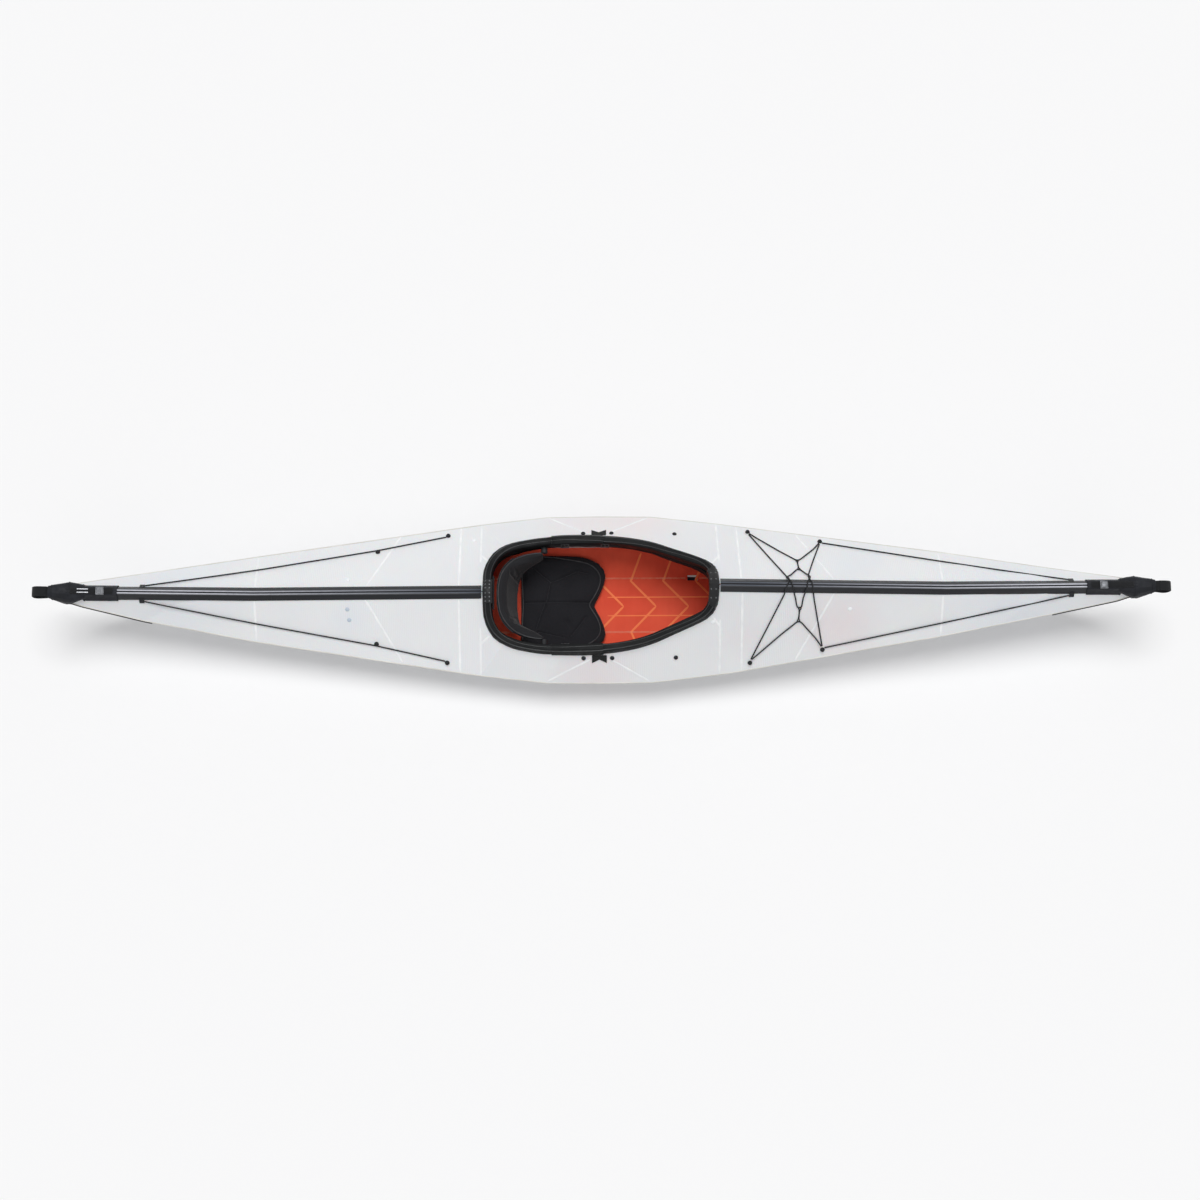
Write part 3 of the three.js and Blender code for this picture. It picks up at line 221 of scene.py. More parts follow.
def fit_out(piece, body, slot, skin, *replaced):
    """Gives a piece its finish and its body, and hides the nodes that it stands for; the slot is
    not used.
    """
    piece.data.materials.clear()
    piece.data.materials.append(skin)
    if replaced:
        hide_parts(*replaced)
    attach(piece, body)
    return piece


def surface_of(*meshes):
    """The faces of some meshes, as one surface that rays can be cast on."""
    places, faces = [], []
    for mesh in meshes:
        start = len(places)
        places += [v.co.copy() for v in mesh.vertices]
        faces += [[start + k for k in p.vertices] for p in mesh.polygons]
    return BVHTree.FromPolygons(places, faces)


def drop(surface, x, y, height=above_boat):
    """The place and normal that a line straight down at x, y meets, or None and None."""
    return surface.ray_cast(Vector((x, y, height)), down)[:2]


def object_coords(tree):
    return put(tree, "ShaderNodeTexCoord").outputs["Object"]


def clouds(tree, coords, scale, detail=3.0):
    return put(tree, "ShaderNodeTexNoise", {
        "Vector": coords, "Scale": scale, "Detail": detail}).outputs[0]


def flutes(tree, coords, scale, distortion=0.2, detail_scale=2.0, direction="X"):
    """Even rounded ribs across the surface."""
    return put(tree, "ShaderNodeTexWave", {
        "Vector": coords, "Scale": scale, "Distortion": distortion, "Detail Scale": detail_scale},
        wave_type="BANDS", bands_direction=direction).outputs[1]


def ramp(tree, value, low, high, first=0.0, last=1.0, **settings):
    """Carries a value from the range low to high over to the range first to last."""
    return put(tree, "ShaderNodeMapRange", {
        "Value": value, "From Min": low, "From Max": high, "To Min": first, "To Max": last},
        **settings).outputs[0]


def mottle(tree, coords, scale, low=0.0, high=1.0, detail=3.0):
    """A soft random value between low and high over the surface."""
    return ramp(tree, clouds(tree, coords, scale, detail), 0.3, 0.7, low, high)


def tint(tree, amount, first, second):
    """Mixes two colours, each a socket or three numbers, by an amount."""
    mix = put(tree, "ShaderNodeMix", {0: amount}, data_type="RGBA")
    for slot, colour in ((6, first), (7, second)):
        if isinstance(colour, bpy.types.NodeSocket):
            tree.links.new(colour, mix.inputs[slot])
        else:
            mix.inputs[slot].default_value = (*colour, 1.0)
    return mix.outputs[2]


def dress(tree, shader, colour=None, roughness=None, height=None, relief=0.0):
    """Links a shader's colour and roughness, and a bump of the given relief in metres."""
    if colour:
        tree.links.new(colour, shader.inputs["Base Color"])
    if roughness:
        tree.links.new(roughness, shader.inputs["Roughness"])
    if height:
        bump = put(tree, "ShaderNodeBump", {"Height": height, "Distance": relief, "Strength": 1.0})
        tree.links.new(bump.outputs[0], shader.inputs["Normal"])


def glow_spots(tree, coords, spots):
    """Soft round spots of painted light: each spot is a place, a reach and a strength; their sum
    comes back.
    """
    total = None
    for place, reach, strength in spots:
        apart = put(tree, "ShaderNodeVectorMath", {0: coords, 1: place}, operation="DISTANCE")
        near = ramp(tree, apart.outputs["Value"], reach, 0.0, 0.0, strength,
                    interpolation_type="SMOOTHSTEP")
        total = maths(tree, "ADD", total, near) if total else near
    return total


def hull_skin():
    skin, tree, shader = new_skin("white corrugated sheet", (0.745, 0.755, 0.775), 0.33, 0.42,
                                  Subsurface_Weight=0.12, Subsurface_Scale=0.01)
    coords = object_coords(tree)
    base = tint(tree, mottle(tree, coords, 3.2), (0.770, 0.778, 0.800), (0.808, 0.814, 0.824))
    # The pink and bluish spots are painted light, tints of light coming through the translucent
    # sheet.
    pink_glow = glow_spots(tree, coords, (
        ((-0.02, -0.262, 0.13), 0.20, 0.30), ((0.10, 0.262, 0.13), 0.22, 0.34),
        ((0.78, -0.110, 0.22), 0.20, 0.34), ((0.47, -0.150, 0.22), 0.10, 0.14),
        ((-0.10, 0.262, 0.13), 0.16, 0.20)))
    blue_glow = glow_spots(tree, coords, (
        ((-0.83, -0.082, 0.22), 0.11, 0.20), ((1.36, -0.05, 0.27), 0.30, 0.22),
        ((-1.40, 0.05, 0.26), 0.30, 0.14), ((0.82, 0.10, 0.24), 0.16, 0.16)))
    base = tint(tree, pink_glow, base, (0.80, 0.62, 0.63))
    base = tint(tree, blue_glow, base, (0.60, 0.68, 0.80))
    ribs = flutes(tree, coords, flute_scale, 0.35)
    base = tint(tree, maths(tree, "MULTIPLY", ribs, 0.05), base, (0.64, 0.66, 0.70))
    height = maths(tree, "MULTIPLY_ADD", ribs, flute_height_share, clouds(tree, coords, 7.0, 2.0))
    dress(tree, shader, base, mottle(tree, coords, 24.0, 0.28, 0.40), height, sheet_relief)
    return skin


hull = clean_copy("hull_sheet", "hull", 7.0)
hull_white = hull_skin()
fit_out(hull, "hull", "sheet", hull_white, "hull_sheet")
hull_surface = surface_of(hull.data)


# Creases: where the sheet was folded its skin is stretched to a whiter, smoother line a few
# millimetres wide. Folds cross the deck in pairs, run out in diagonals and wrap round the
# bilges to the bottom.
crease_width = 0.0088
crease_rise = 0.0006
crease_step = 0.012
deck_folds = (
    ((-1.144, 0.140), (-1.144, 0.024)), ((-1.144, -0.024), (-1.144, -0.140)),
    ((1.120, 0.138), (1.120, 0.024)), ((1.120, -0.024), (1.120, -0.138)),
    ((-0.470, 0.246), (-0.470, 0.024)), ((-0.470, -0.024), (-0.470, -0.246)),
    ((-0.401, 0.256), (-0.401, 0.110)), ((-0.401, -0.110), (-0.401, -0.256)),
    ((0.385, 0.256), (0.387, 0.100)), ((0.388, -0.100), (0.390, -0.255)),
    ((0.453, 0.246), (0.456, 0.024)), ((0.459, -0.024), (0.463, -0.244)),
    ((-0.778, 0.022), (-0.672, 0.216)), ((-0.778, -0.022), (-0.662, -0.211)),
    ((0.763, 0.023), (0.649, 0.215)), ((0.762, -0.020), (0.641, -0.213)),
    ((-0.038, -0.215), (-0.183, -0.279)), ((0.028, -0.215), (0.158, -0.279)),
    ((-0.062, 0.219), (-0.173, 0.280)), ((0.035, 0.219), (0.155, 0.280)),
    ((-0.401, 0.140), (-0.376, 0.114)), ((-0.402, -0.162), (-0.371, -0.138)),
    ((0.388, 0.120), (0.362, 0.086)), ((0.388, -0.120), (0.362, -0.090)),
)
wrapped_folds = (-1.144, -0.470, -0.401, 0.387, 0.458, 1.120)
wrapped_step = 0.014
wrapped_width_share = 0.9
wrapped_taper = 0.010
hull_core_height = 0.2
outside_sheet = 0.004


def fine_steps(points, step):
    """Points along a bent line, no more than a step apart. A corner may leave out its height."""
    corners = [Vector((*p, 0.0)[:3]) for p in points]
    line = corners[:1]
    for a, b in zip(corners, corners[1:]):
        count = max(1, math.ceil((b - a).length / step))
        line += [a.lerp(b, (k + 1) / count) for k in range(count)]
    return line


def laid_path(surface, points, step, height=above_boat):
    """Places and normals where a bent line in plan falls on a surface."""
    path = [drop(surface, p.x, p.y, height) for p in fine_steps(points, step)]
    return [spot for spot in path if spot[0]]


def close_rings(faces, start, rings, sides, turned=False):
    """Adds the faces between rings of corners, from corner start on, and one at each end."""
    for ring in range(start, start + (rings - 1) * sides, sides):
        for j in range(sides):
            a, b = ring + j, ring + (j + 1) % sides
            faces.append((a, a + sides, b + sides, b) if turned else (a, b, b + sides, a + sides))
    first = tuple(range(start, start + sides))
    last = tuple(start + (rings - 1) * sides + j for j in range(sides))
    faces.extend((first, last[::-1]) if turned else (first[::-1], last))


# Half widths and heights of a strip's rounded section, as shares of its width and rise
strip_section = ((-0.5, 0.0), (-0.36, 0.62), (-0.14, 1.0), (0.14, 1.0), (0.36, 0.62), (0.5, 0.0))
strip_end_share = 0.45
blunt, square_end = 0.0005, 0.0001


def ribbon(places, faces, path, width, rise, sink=0.0006, taper=0.006):
    """Adds a low rounded strip along a path of places and outward normals."""
    start = len(places)
    length = sum((b[0] - a[0]).length for a, b in zip(path, path[1:]))
    run = 0.0
    for k, (place, normal) in enumerate(path):
        if k:
            run += (place - path[k - 1][0]).length
        ahead = path[min(k + 1, len(path) - 1)][0] - path[max(k - 1, 0)][0]
        side = normal.cross(ahead).normalized()
        share = min(1.0, strip_end_share + min(run, length - run) / taper)
        places += [place + side * (s * width * share)
                   + normal * (h * rise * share - (0.0 if h else sink)) for s, h in strip_section]
    close_rings(faces, start, len(path), len(strip_section), True)


def crease_strips():
    places, faces = [], []
    for fold in deck_folds:
        ribbon(places, faces, laid_path(hull_surface, fold, crease_step), crease_width, crease_rise)
    for x in wrapped_folds:
        _, beam, gunwale, _, keel, bottom, bilge, bilge_height = hull_section(x)
        half = ((beam, gunwale), (bilge, bilge_height), (bottom, keel))
        round_hull = [(x, y, z) for y, z in half] + [(x, -y, z) for y, z in half[::-1]]
        path = []
        for point in fine_steps(round_hull, wrapped_step):
            out = Vector((0.0, point.y, point.z - hull_core_height)).normalized()
            path.append(hull_surface.find_nearest(point + out * outside_sheet)[:2])
        ribbon(places, faces, path, crease_width * wrapped_width_share, crease_rise,
               taper=wrapped_taper)
    return new_piece("fold_creases", places, faces, 60.0)


def mottled_skin(name, colour, roughness, specular, cloud, shades, patches=None, grain=None,
                 **settings):
    """A finish that drifts between two shades. Cloud is the scale and detail of the drift,
    patches the scale, low and high of the roughness, grain the scale, detail and relief."""
    skin, tree, shader = new_skin(name, colour, roughness, specular, **settings)
    coords = object_coords(tree)
    base = tint(tree, mottle(tree, coords, cloud[0], detail=cloud[1]), *shades)
    dress(tree, shader, base)
    if patches:
        dress(tree, shader, roughness=mottle(tree, coords, *patches))
    if grain:
        dress(tree, shader, height=clouds(tree, coords, *grain[:2]), relief=grain[2])
    return skin


fold_white = mottled_skin("stretched fold", (0.90, 0.905, 0.915), 0.24, 0.5, (30.0, 3.0),
                          ((0.82, 0.83, 0.85), (0.93, 0.935, 0.94)), grain=(260.0, 2.0, 0.0003))
fit_out(crease_strips(), "hull", "sheet", fold_white)


# Edge folds: the long folds at the gunwales and along the two edges of the bottom and the
# bilges are rounded and run from end to end of the sheet; the gunwale folds are beige and a
# little darker than the sheet.
def circle(centre, ahead, across, radius, count):
    """Places round a circle between two square directions."""
    turns = [math.tau * k / count for k in range(count)]
    return [centre + (ahead * math.cos(t) + across * math.sin(t)) * radius for t in turns]


def round_rod(places, faces, line, radius, sides=8):
    """Adds a round rod along a line of places."""
    start = len(places)
    for k, place in enumerate(line):
        ahead = (line[min(k + 1, len(line) - 1)] - line[max(k - 1, 0)]).normalized()
        across = ahead.cross(Vector((0.0, 0.0, 1.0))).normalized()
        places += circle(place, across, across.cross(ahead), radius, sides)
    close_rings(faces, start, len(line), sides)


edge_beige = mottled_skin("handled fold", (0.70, 0.68, 0.62), 0.38, 0.4, (9.0, 4.0),
                             ((0.56, 0.545, 0.50), (0.76, 0.745, 0.70)), grain=(180.0, 3.0, 0.0004))
long_fold_step = 0.05
# Each fold: its name, its radius, the columns of its half width and height in a row of the
# hull, how far in and how far up it lies from them, and its finish
for name, radius, wide, high, inset, lift, skin in (
        ("gunwale_folds", 0.0024, 1, 2, 0.0014, 0.0, edge_beige),
        ("bilge_folds", 0.0018, 6, 7, 0.0008, 0.0008, fold_white),
        ("bottom_folds", 0.0012, 5, 4, 0.0006, 0.0010, fold_white)):
    places, faces = [], []
    for side in (1, -1):
        line = [(row[0], side * (row[wide] - inset), row[high] + lift) for row in hull_rows[1:-1]]
        round_rod(places, faces, fine_steps(line, long_fold_step), radius)
    fit_out(new_piece(name, places, faces, 60.0), "hull", "sheet", skin)


# Deck rails: four black extrusions slid over the upstanding edges of the sheet. Each has a
# satin flat along its top with a groove down the middle, and they butt at a thin joint. The
# flat is coloured with a painted reflection, blue-grey near the cockpit and pale towards the ends.
flat_edge, flat_full = 0.0076, 0.0056
highlight_from, highlight_to = 0.50, 1.46
draw_relief = 0.00012


def rail_skin():
    skin, tree, shader = new_skin("black extrusion", (0.012, 0.013, 0.016), 0.30, 0.22)
    coords = object_coords(tree)
    apart = put(tree, "ShaderNodeSeparateXYZ", {0: coords}).outputs
    flat = ramp(tree, maths(tree, "ABSOLUTE", apart[1]), flat_edge, flat_full)
    facing = put(tree, "ShaderNodeSeparateXYZ", {
        0: put(tree, "ShaderNodeNewGeometry").outputs["Normal"]}).outputs
    stripe = maths(tree, "MULTIPLY", flat, ramp(tree, facing[2], 0.90, 0.97))
    along = put(tree, "ShaderNodeMapping", {"Vector": coords, "Scale": (1.0, 14.0, 1.0)}).outputs[0]
    drawn = mottle(tree, along, 60.0)
    # Painted reflection on the flat: blue-grey near the cockpit, brightening to pale grey at the
    # ends.
    reflection_share = ramp(tree, maths(tree, "ABSOLUTE", apart[0]), highlight_from, highlight_to)
    painted_highlight = tint(tree, reflection_share, (0.044, 0.054, 0.076), (0.56, 0.57, 0.64))
    painted_highlight = tint(tree, maths(tree, "MULTIPLY", drawn, 0.35), painted_highlight, (0.030, 0.034, 0.046))
    dress(tree, shader, tint(tree, stripe, (0.011, 0.012, 0.015), painted_highlight),
          ramp(tree, drawn, 0.0, 1.0, 0.30, 0.42), drawn, draw_relief)
    return skin


rail_black = rail_skin()
for rail in ("stern_rail_aft", "stern_rail_fore", "bow_rail_aft", "bow_rail_fore"):
    piece = clean_copy(rail, rail.replace("_rail_", "_deck_rail_"), 26.0)
    fit_out(piece, "hull", "rail", rail_black, rail)


# End caps: a soft moulded rubber boot pulled over each pinched end of the sheet, with a tongue
# over the end of the rail and two arms that grip the gunwales. A raised seam runs round its
# widest part, and two short ribs are moulded on its top.
cap_ends = (("stern", -1.0, -1.6890, -1.8120), ("bow", 1.0, 1.6890, 1.8120))
above_cap, outside_cap = 0.6, 0.2
cap_grain = 0.0017
cap_wave, cap_dent = 0.0011, 0.0005
cap_wave_scale, cap_dent_scale = (34.0, 9.0, 12.0), 46.0
# Each seam of a cap: share of the way to the tip, width and rise
cap_seams = ((0.06, 0.0050, 0.0016), (0.44, 0.0034, 0.0013), (0.90, 0.0040, 0.0016))
cap_seam_height, cap_seam_fall = 0.030, 0.012
cap_rib_sides = (0.0062, -0.0052)
cap_rib_span = (0.025, 0.062)
cap_rib_width, cap_rib_rise, cap_rib_taper = 0.0046, 0.0018, 0.004
seam_step = 0.003


def keep_shape(piece):
    """Applies every modifier of a piece to its mesh."""
    shaped = bpy.data.meshes.new_from_object(
        piece.evaluated_get(bpy.context.evaluated_depsgraph_get()))
    before = piece.data
    piece.modifiers.clear()
    piece.data = shaped
    bpy.data.meshes.remove(before)
    return piece


def soften(piece, width, sharp=30.0):
    """Rounds the edges of a piece that are sharper than an angle."""
    bevel = piece.modifiers.new("edges", "BEVEL")
    bevel.width = width
    bevel.segments = 2
    bevel.limit_method = "ANGLE"
    bevel.angle_limit = math.radians(sharp)
    bevel.harden_normals = False
    keep_shape(piece)
    piece.data.shade_smooth()
    piece.data.set_sharp_from_angle(angle=math.radians(sharp + 14.0))
    return piece


def finished_copy(node, name, body, slot, skin, edge, sharp=40.0, shading=30.0):
    """A copy of a CAD node with its edges rounded, fitted out to stand for the node."""
    piece = soften(clean_copy(node, name, shading), edge, sharp)
    return fit_out(piece, body, slot, skin, node)


def move_corners(piece, places):
    piece.data.vertices.foreach_set("co", [c for place in places for c in place])
    piece.data.update()


def coarsen(piece, grain):
    """Rebuilds a piece with even faces of a set size."""
    remesh = piece.modifiers.new("grain", "REMESH")
    remesh.mode = "VOXEL"
    remesh.voxel_size = grain
    return remesh


def cells(tree, coords, scale):
    """Fine pebbled grain, as moulded plastic, rubber and knitted cloth have."""
    return put(tree, "ShaderNodeTexVoronoi", {"Vector": coords, "Scale": scale}).outputs[0]


def cap_skin():
    skin, tree, shader = new_skin("moulded rubber", (0.013, 0.014, 0.017), 0.62, 0.16)
    coords = object_coords(tree)
    base = tint(tree, mottle(tree, coords, 26.0, detail=5.0),
                (0.010, 0.0108, 0.0135), (0.0185, 0.020, 0.025))
    height = maths(tree, "MULTIPLY_ADD", cells(tree, coords, 900.0), 0.25,
                   clouds(tree, coords, 120.0, 4.0))
    dress(tree, shader, base, mottle(tree, coords, 60.0, 0.50, 0.72), height, 0.0006)
    return skin


def seam_round(surface, centre, count=72):
    """Places and normals round a closed surface where a cross plane meets it."""
    path = []
    for k in range(count + 1):
        turn = math.tau * k / count
        out = Vector((0.0, math.cos(turn), math.sin(turn)))
        place, normal, _, _ = surface.ray_cast(centre + out * outside_cap, -out)
        if place:
            path.append((place, normal))
    return path


def worn_by_hand(cap, root, tip):
    """Where each corner of a cap goes as the rubber sags in soft waves towards its tip."""
    for place, normal in [(v.co.copy(), v.normal.copy()) for v in cap.data.vertices]:
        share = max(0.0, (place.x - root) / (tip - root))
        wave = noise.noise(Vector([c * scale for c, scale in zip(place, cap_wave_scale)]))
        dent = noise.noise(place * cap_dent_scale + Vector((3.0, 1.0, 7.0)))
        yield place + normal * ((wave * cap_wave + dent * cap_dent) * min(1.0, share * 5.0))


rubber = cap_skin()
for end, sign, root, tip in cap_ends:
    cap = clean_copy(f"{end}_fairing", f"{end}_boot")
    coarsen(cap, cap_grain).use_smooth_shade = True
    smooth = cap.modifiers.new("soft", "SMOOTH")
    smooth.factor = 0.5
    smooth.iterations = 6
    keep_shape(cap)
    move_corners(cap, worn_by_hand(cap, root, tip))
    surface = surface_of(cap.data)
    places, faces = [], []
    ridge = hull_section(root)[3]
    for share, width, rise in cap_seams:
        height = ridge - cap_seam_height - cap_seam_fall * share
        middle = Vector((root + (tip - root) * share, 0.0, height))
        ribbon(places, faces, seam_round(surface, middle), width, rise, taper=square_end)
    for across in cap_rib_sides:
        line = [(root + sign * along, across) for along in cap_rib_span]
        ribbon(places, faces, laid_path(surface, line, seam_step, above_cap), cap_rib_width,
               cap_rib_rise, taper=cap_rib_taper)
    trim = new_piece(f"{end}_boot_seams", places, faces, 60.0)
    fit_out(cap, f"{end}_cap", "rubber", rubber, f"{end}_fairing")
    fit_out(trim, f"{end}_cap", "rubber", rubber)


# Carry loops and cap straps: loops of 34 mm nylon webbing sewn into the tip of each boot, and a
# 20 mm strap that a cam buckle draws down over the rail. The weave runs across the webbing and
# its edges are bound; the ends are sewn down with a boxed row of stitches.
loop_seam_side = 0.0135
loop_seam_inset, loop_seam_steps = 0.004, 30
loop_seam_pitch, box_seam_pitch, box_thread = 0.0036, 0.0030, 0.0007
ply_step = 0.006
ply_end = 0.005
tail_lean = 0.004
tail_into_cap, tail_lap = 0.016, 0.004
tail_width, tail_thickness = 0.031, 0.0026
strap_box_span = (0.004, 0.030)
strap_box_side = 0.0075


def web_skin(name, colour, direction="X", pitch=0.0016):
    skin, tree, shader = new_skin(name, colour, 0.80, 0.14, Sheen_Weight=0.06, Sheen_Roughness=0.5)
    coords = object_coords(tree)
    # A wave texture repeats every tau / 20 units at scale 1; the weft is 1.6 times as wide
    both = maths(tree, "ADD",
                 flutes(tree, coords, math.tau / (20.0 * pitch), 0.6, 3.0, direction),
                 flutes(tree, coords, math.tau / (20.0 * pitch * 1.6), 0.4, 3.0, "Y"))
    light = tuple(min(1.0, c * 1.9 + 0.006) for c in colour)
    dark = tuple(c * 0.55 for c in colour)
    base = tint(tree, maths(tree, "MULTIPLY", both, 0.5), dark, light)
    dress(tree, shader, base, height=both, relief=0.0004)
    return skin


def start_tree(name, **sizes):
    """A Geometry Nodes tree that takes a mesh, some named inputs and a finish."""
    tree = bpy.data.node_groups.new(name, "GeometryNodeTree")
    labels = {label.replace("_", " "): kind for label, kind in sizes.items()}
    for label, kind in (("Geometry", "Geometry"), *labels.items(), ("Finish", "Material")):
        tree.interface.new_socket(label, in_out="INPUT", socket_type=f"NodeSocket{kind}")
    tree.interface.new_socket("Geometry", in_out="OUTPUT", socket_type="NodeSocketGeometry")
    return tree, put(tree, "NodeGroupInput").outputs


def end_tree(tree, given, made):
    """Makes real what a tree has placed and gives it the finish."""
    whole = put(tree, "GeometryNodeRealizeInstances", {0: made})
    done = put(tree, "GeometryNodeSetMaterial", {
        "Geometry": whole.outputs[0], "Material": given["Finish"]})
    put(tree, "NodeGroupOutput", {0: done.outputs[0]})
    return tree


def marked_turn(tree):
    """The turn that stands a copy up along "facing" and points it along "heading"."""
    facing, heading = (put(tree, "GeometryNodeInputNamedAttribute", {"Name": name},
                           data_type="FLOAT_VECTOR").outputs[0] for name in ("facing", "heading"))
    upright = put(tree, "FunctionNodeAlignRotationToVector", {"Vector": facing}, axis="Z")
    return put(tree, "FunctionNodeAlignRotationToVector", {
        "Rotation": upright.outputs[0], "Vector": heading}, axis="X", pivot_axis="Z").outputs[0]


def stitch_tree():
    """Geometry Nodes: sets a short thread loop on every point, facing along its attributes."""
    tree, given = start_tree("stitches", Thread_Length="Float", Thread_Thickness="Float")
    half = maths(tree, "MULTIPLY", given["Thread Length"], 0.5)
    back = maths(tree, "MULTIPLY", half, -1.0)
    lift = given["Thread Thickness"]
    start, top, stop = (put(tree, "ShaderNodeCombineXYZ", {axis: size}).outputs[0]
                        for axis, size in ((0, back), (2, lift), (0, half)))
    arc = put(tree, "GeometryNodeCurveQuadraticBezier", {
        "Resolution": 4, "Start": start, "Middle": top, "End": stop})
    ring = put(tree, "GeometryNodeCurvePrimitiveCircle", {
        "Resolution": 5, "Radius": maths(tree, "MULTIPLY", lift, 0.5)})
    thread = put(tree, "GeometryNodeCurveToMesh", {
        "Curve": arc.outputs[0], "Profile Curve": ring.outputs[0], "Fill Caps": True})
    copies = put(tree, "GeometryNodeInstanceOnPoints", {
        "Points": given["Geometry"], "Instance": thread.outputs[0], "Rotation": marked_turn(tree)})
    return end_tree(tree, given, copies.outputs[0])


def from_nodes(start, tree, values, body, slot, *replaced):
    """Runs a node tree on a starting object and keeps the result as a plain, fitted piece."""
    name = start.name
    modifier = start.modifiers.new(name, "NODES")
    modifier.node_group = tree
    for item in tree.interface.items_tree:
        if item.in_out == "INPUT" and item.name in values:
            modifier[item.identifier] = values[item.name]
    made = bpy.data.meshes.new_from_object(
        start.evaluated_get(bpy.context.evaluated_depsgraph_get()))
    start.modifiers.clear()
    for extra in ("facing", "heading"):
        if extra in made.attributes:
            made.attributes.remove(made.attributes[extra])
    made.name = name
    piece = bpy.data.objects.new(name, made)
    scene.collection.objects.link(piece)
    bpy.data.objects.remove(start)
    return fit_out(piece, body, slot, values["Finish"], *replaced)


def bare_mesh(name, places, edges=()):
    data = bpy.data.meshes.new(name)
    data.from_pydata([tuple(p) for p in places], edges, [])
    start = bpy.data.objects.new(name, data)
    scene.collection.objects.link(start)
    return start


def marked_points(name, spots):
    """A mesh of bare points, each with the way it faces and the way it heads."""
    start = bare_mesh(name, [spot[0] for spot in spots])
    for label, slot in (("facing", 1), ("heading", 2)):
        layer = start.data.attributes.new(label, "FLOAT_VECTOR", "POINT")
        layer.data.foreach_set("vector", [c for spot in spots for c in spot[slot]])
    return start


thread_thickness, thread_lift = 0.0009, 0.0001
stitch_share = 0.72


def sew(name, path, pitch, body, slot, skin, thickness=thread_thickness):
    """A row of stitches along a path of places and normals."""
    spots = []
    run = 0.0
    for (a, n), (b, _) in zip(path, path[1:]):
        step = (b - a).length
        if step < 1e-6:
            continue
        while run < step:
            spots.append((a.lerp(b, run / step) + n * thread_lift, n, (b - a).normalized()))
            run += pitch
        run -= step
    return from_nodes(marked_points(name, spots), stitches, {
        "Thread Length": pitch * stitch_share, "Thread Thickness": thickness,
        "Finish": skin}, body, slot)


def upper_ply(path):
    """The part of a path before it falls from one ply of a loop to the other."""
    upper = path[:1]
    for spot in path[1:]:
        if abs(spot[0].z - upper[-1][0].z) > ply_step:
            break
        upper.append(spot)
    return upper


def web_tail(places, faces, path):
    """Adds a flat run of webbing along places in the upright plane of the boat's middle."""
    start = len(places)
    for k, spot in enumerate(path):
        ahead = path[min(k + 1, len(path) - 1)] - path[max(k - 1, 0)]
        up = ahead.cross(Vector((0.0, 1.0, 0.0))).normalized()
        for y, z in ((-0.5, -0.5), (0.5, -0.5), (0.5, 0.5), (-0.5, 0.5)):
            places.append(spot + Vector((0.0, y * tail_width, 0.0)) + up * (z * tail_thickness))
    close_rings(faces, start, len(path), 4, True)


def loop_tails(name, loop, level, sign, tip):
    """The two ends of a carry loop, run on from its plies into the tip of the cap."""
    places, faces = [], []
    for lift in (tail_lean, -tail_lean):
        ply = [v.co for v in loop.data.vertices if (v.co.z > level) == (lift > 0)]
        back = min(abs(co.x) for co in ply)
        rim_end = [co for co in ply if abs(co.x) < back + ply_end]
        start = sum(rim_end, Vector()) / len(rim_end)
        start.y = 0.0
        into = Vector((tip - sign * tail_into_cap, 0.0, start.z - lift))
        lap = start + (start - into).normalized() * tail_lap
        web_tail(places, faces, [lap, start, start.lerp(into, 0.5), into])
    return new_piece(name, places, faces, 40.0)


stitches = stitch_tree()
web_black = web_skin("black webbing", (0.011, 0.0115, 0.013))
thread_black = new_skin("waxed thread", (0.034, 0.035, 0.038), 0.55, 0.2)[0]
for end, sign, _, tip in cap_ends:
    body = f"{end}_cap"
    loop = finished_copy(f"{end}_handle", f"{end}_carry_loop", body, "web", web_black, 0.0011)
    strap = finished_copy(f"{end}_strap", f"{end}_cap_strap", body, "web", web_black, 0.0005)
    low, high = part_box(f"{end}_handle")
    surface = surface_of(loop.data)
    first, last = low[0] + loop_seam_inset, high[0] - loop_seam_inset
    for number, across in enumerate((-loop_seam_side, loop_seam_side)):
        path = [drop(surface, first + (last - first) * k / loop_seam_steps, across, above_cap)
                for k in range(loop_seam_steps + 1)]
        path = [spot for spot in path if spot[0]]
        path = upper_ply(path[::-1] if sign > 0 else path)
        sew(f"{end}_loop_stitches_{number + 1}", path, loop_seam_pitch, body, "web", thread_black)
    tails = loop_tails(f"{end}_loop_tails", loop, (low[2] + high[2]) / 2, sign, tip)
    fit_out(tails, body, "web", web_black)
    low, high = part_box(f"{end}_strap")
    free_end = high[0] if sign > 0 else low[0]
    outer, inner = (free_end - sign * inset for inset in strap_box_span)
    half = strap_box_side
    box_in = ((outer, -half), (inner, -half), (inner, half), (outer, half), (outer, -half),
              (inner, half))
    path = laid_path(surface_of(strap.data), box_in, seam_step, above_cap)
    sew(f"{end}_strap_stitches", path, box_seam_pitch, body, "web", thread_black, box_thread)


# Cam buckles: a die-cast frame with a sprung lever that bites the strap. The frame has side
# cheeks and a cross pin, and the lever a ribbed thumb pad.
frame_edge, lever_edge = 0.0010, 0.0008
rib_count, rib_half, rib_rise, rib_pitch, rib_length = 4, 0.0008, 0.0016, 0.0034, 0.0156
box_edge_share = 0.28
lever_place = (1.62, 1.66)


def bar(places, faces, low, high, turn):
    """Adds a box between two corners, its edges cut back so that it isn't a bare block."""
    cut = min(h - l for l, h in zip(low, high)) * box_edge_share
    start = len(places)
    middle = Vector([(a + b) / 2 for a, b in zip(low, high)])
    half = Vector([(b - a) / 2 for a, b in zip(low, high)])
    shape = bmesh.new()
    bmesh.ops.create_cube(shape, size=2.0)
    for corner in shape.verts:
        corner.co = corner.co * half
    bmesh.ops.bevel(shape, geom=shape.edges[:], offset=cut, segments=2, affect="EDGES", profile=0.6)
    shape.verts.index_update()
    places += [turn @ (corner.co + middle) for corner in shape.verts]
    faces += [tuple(start + v.index for v in f.verts) for f in shape.faces]
    shape.free()


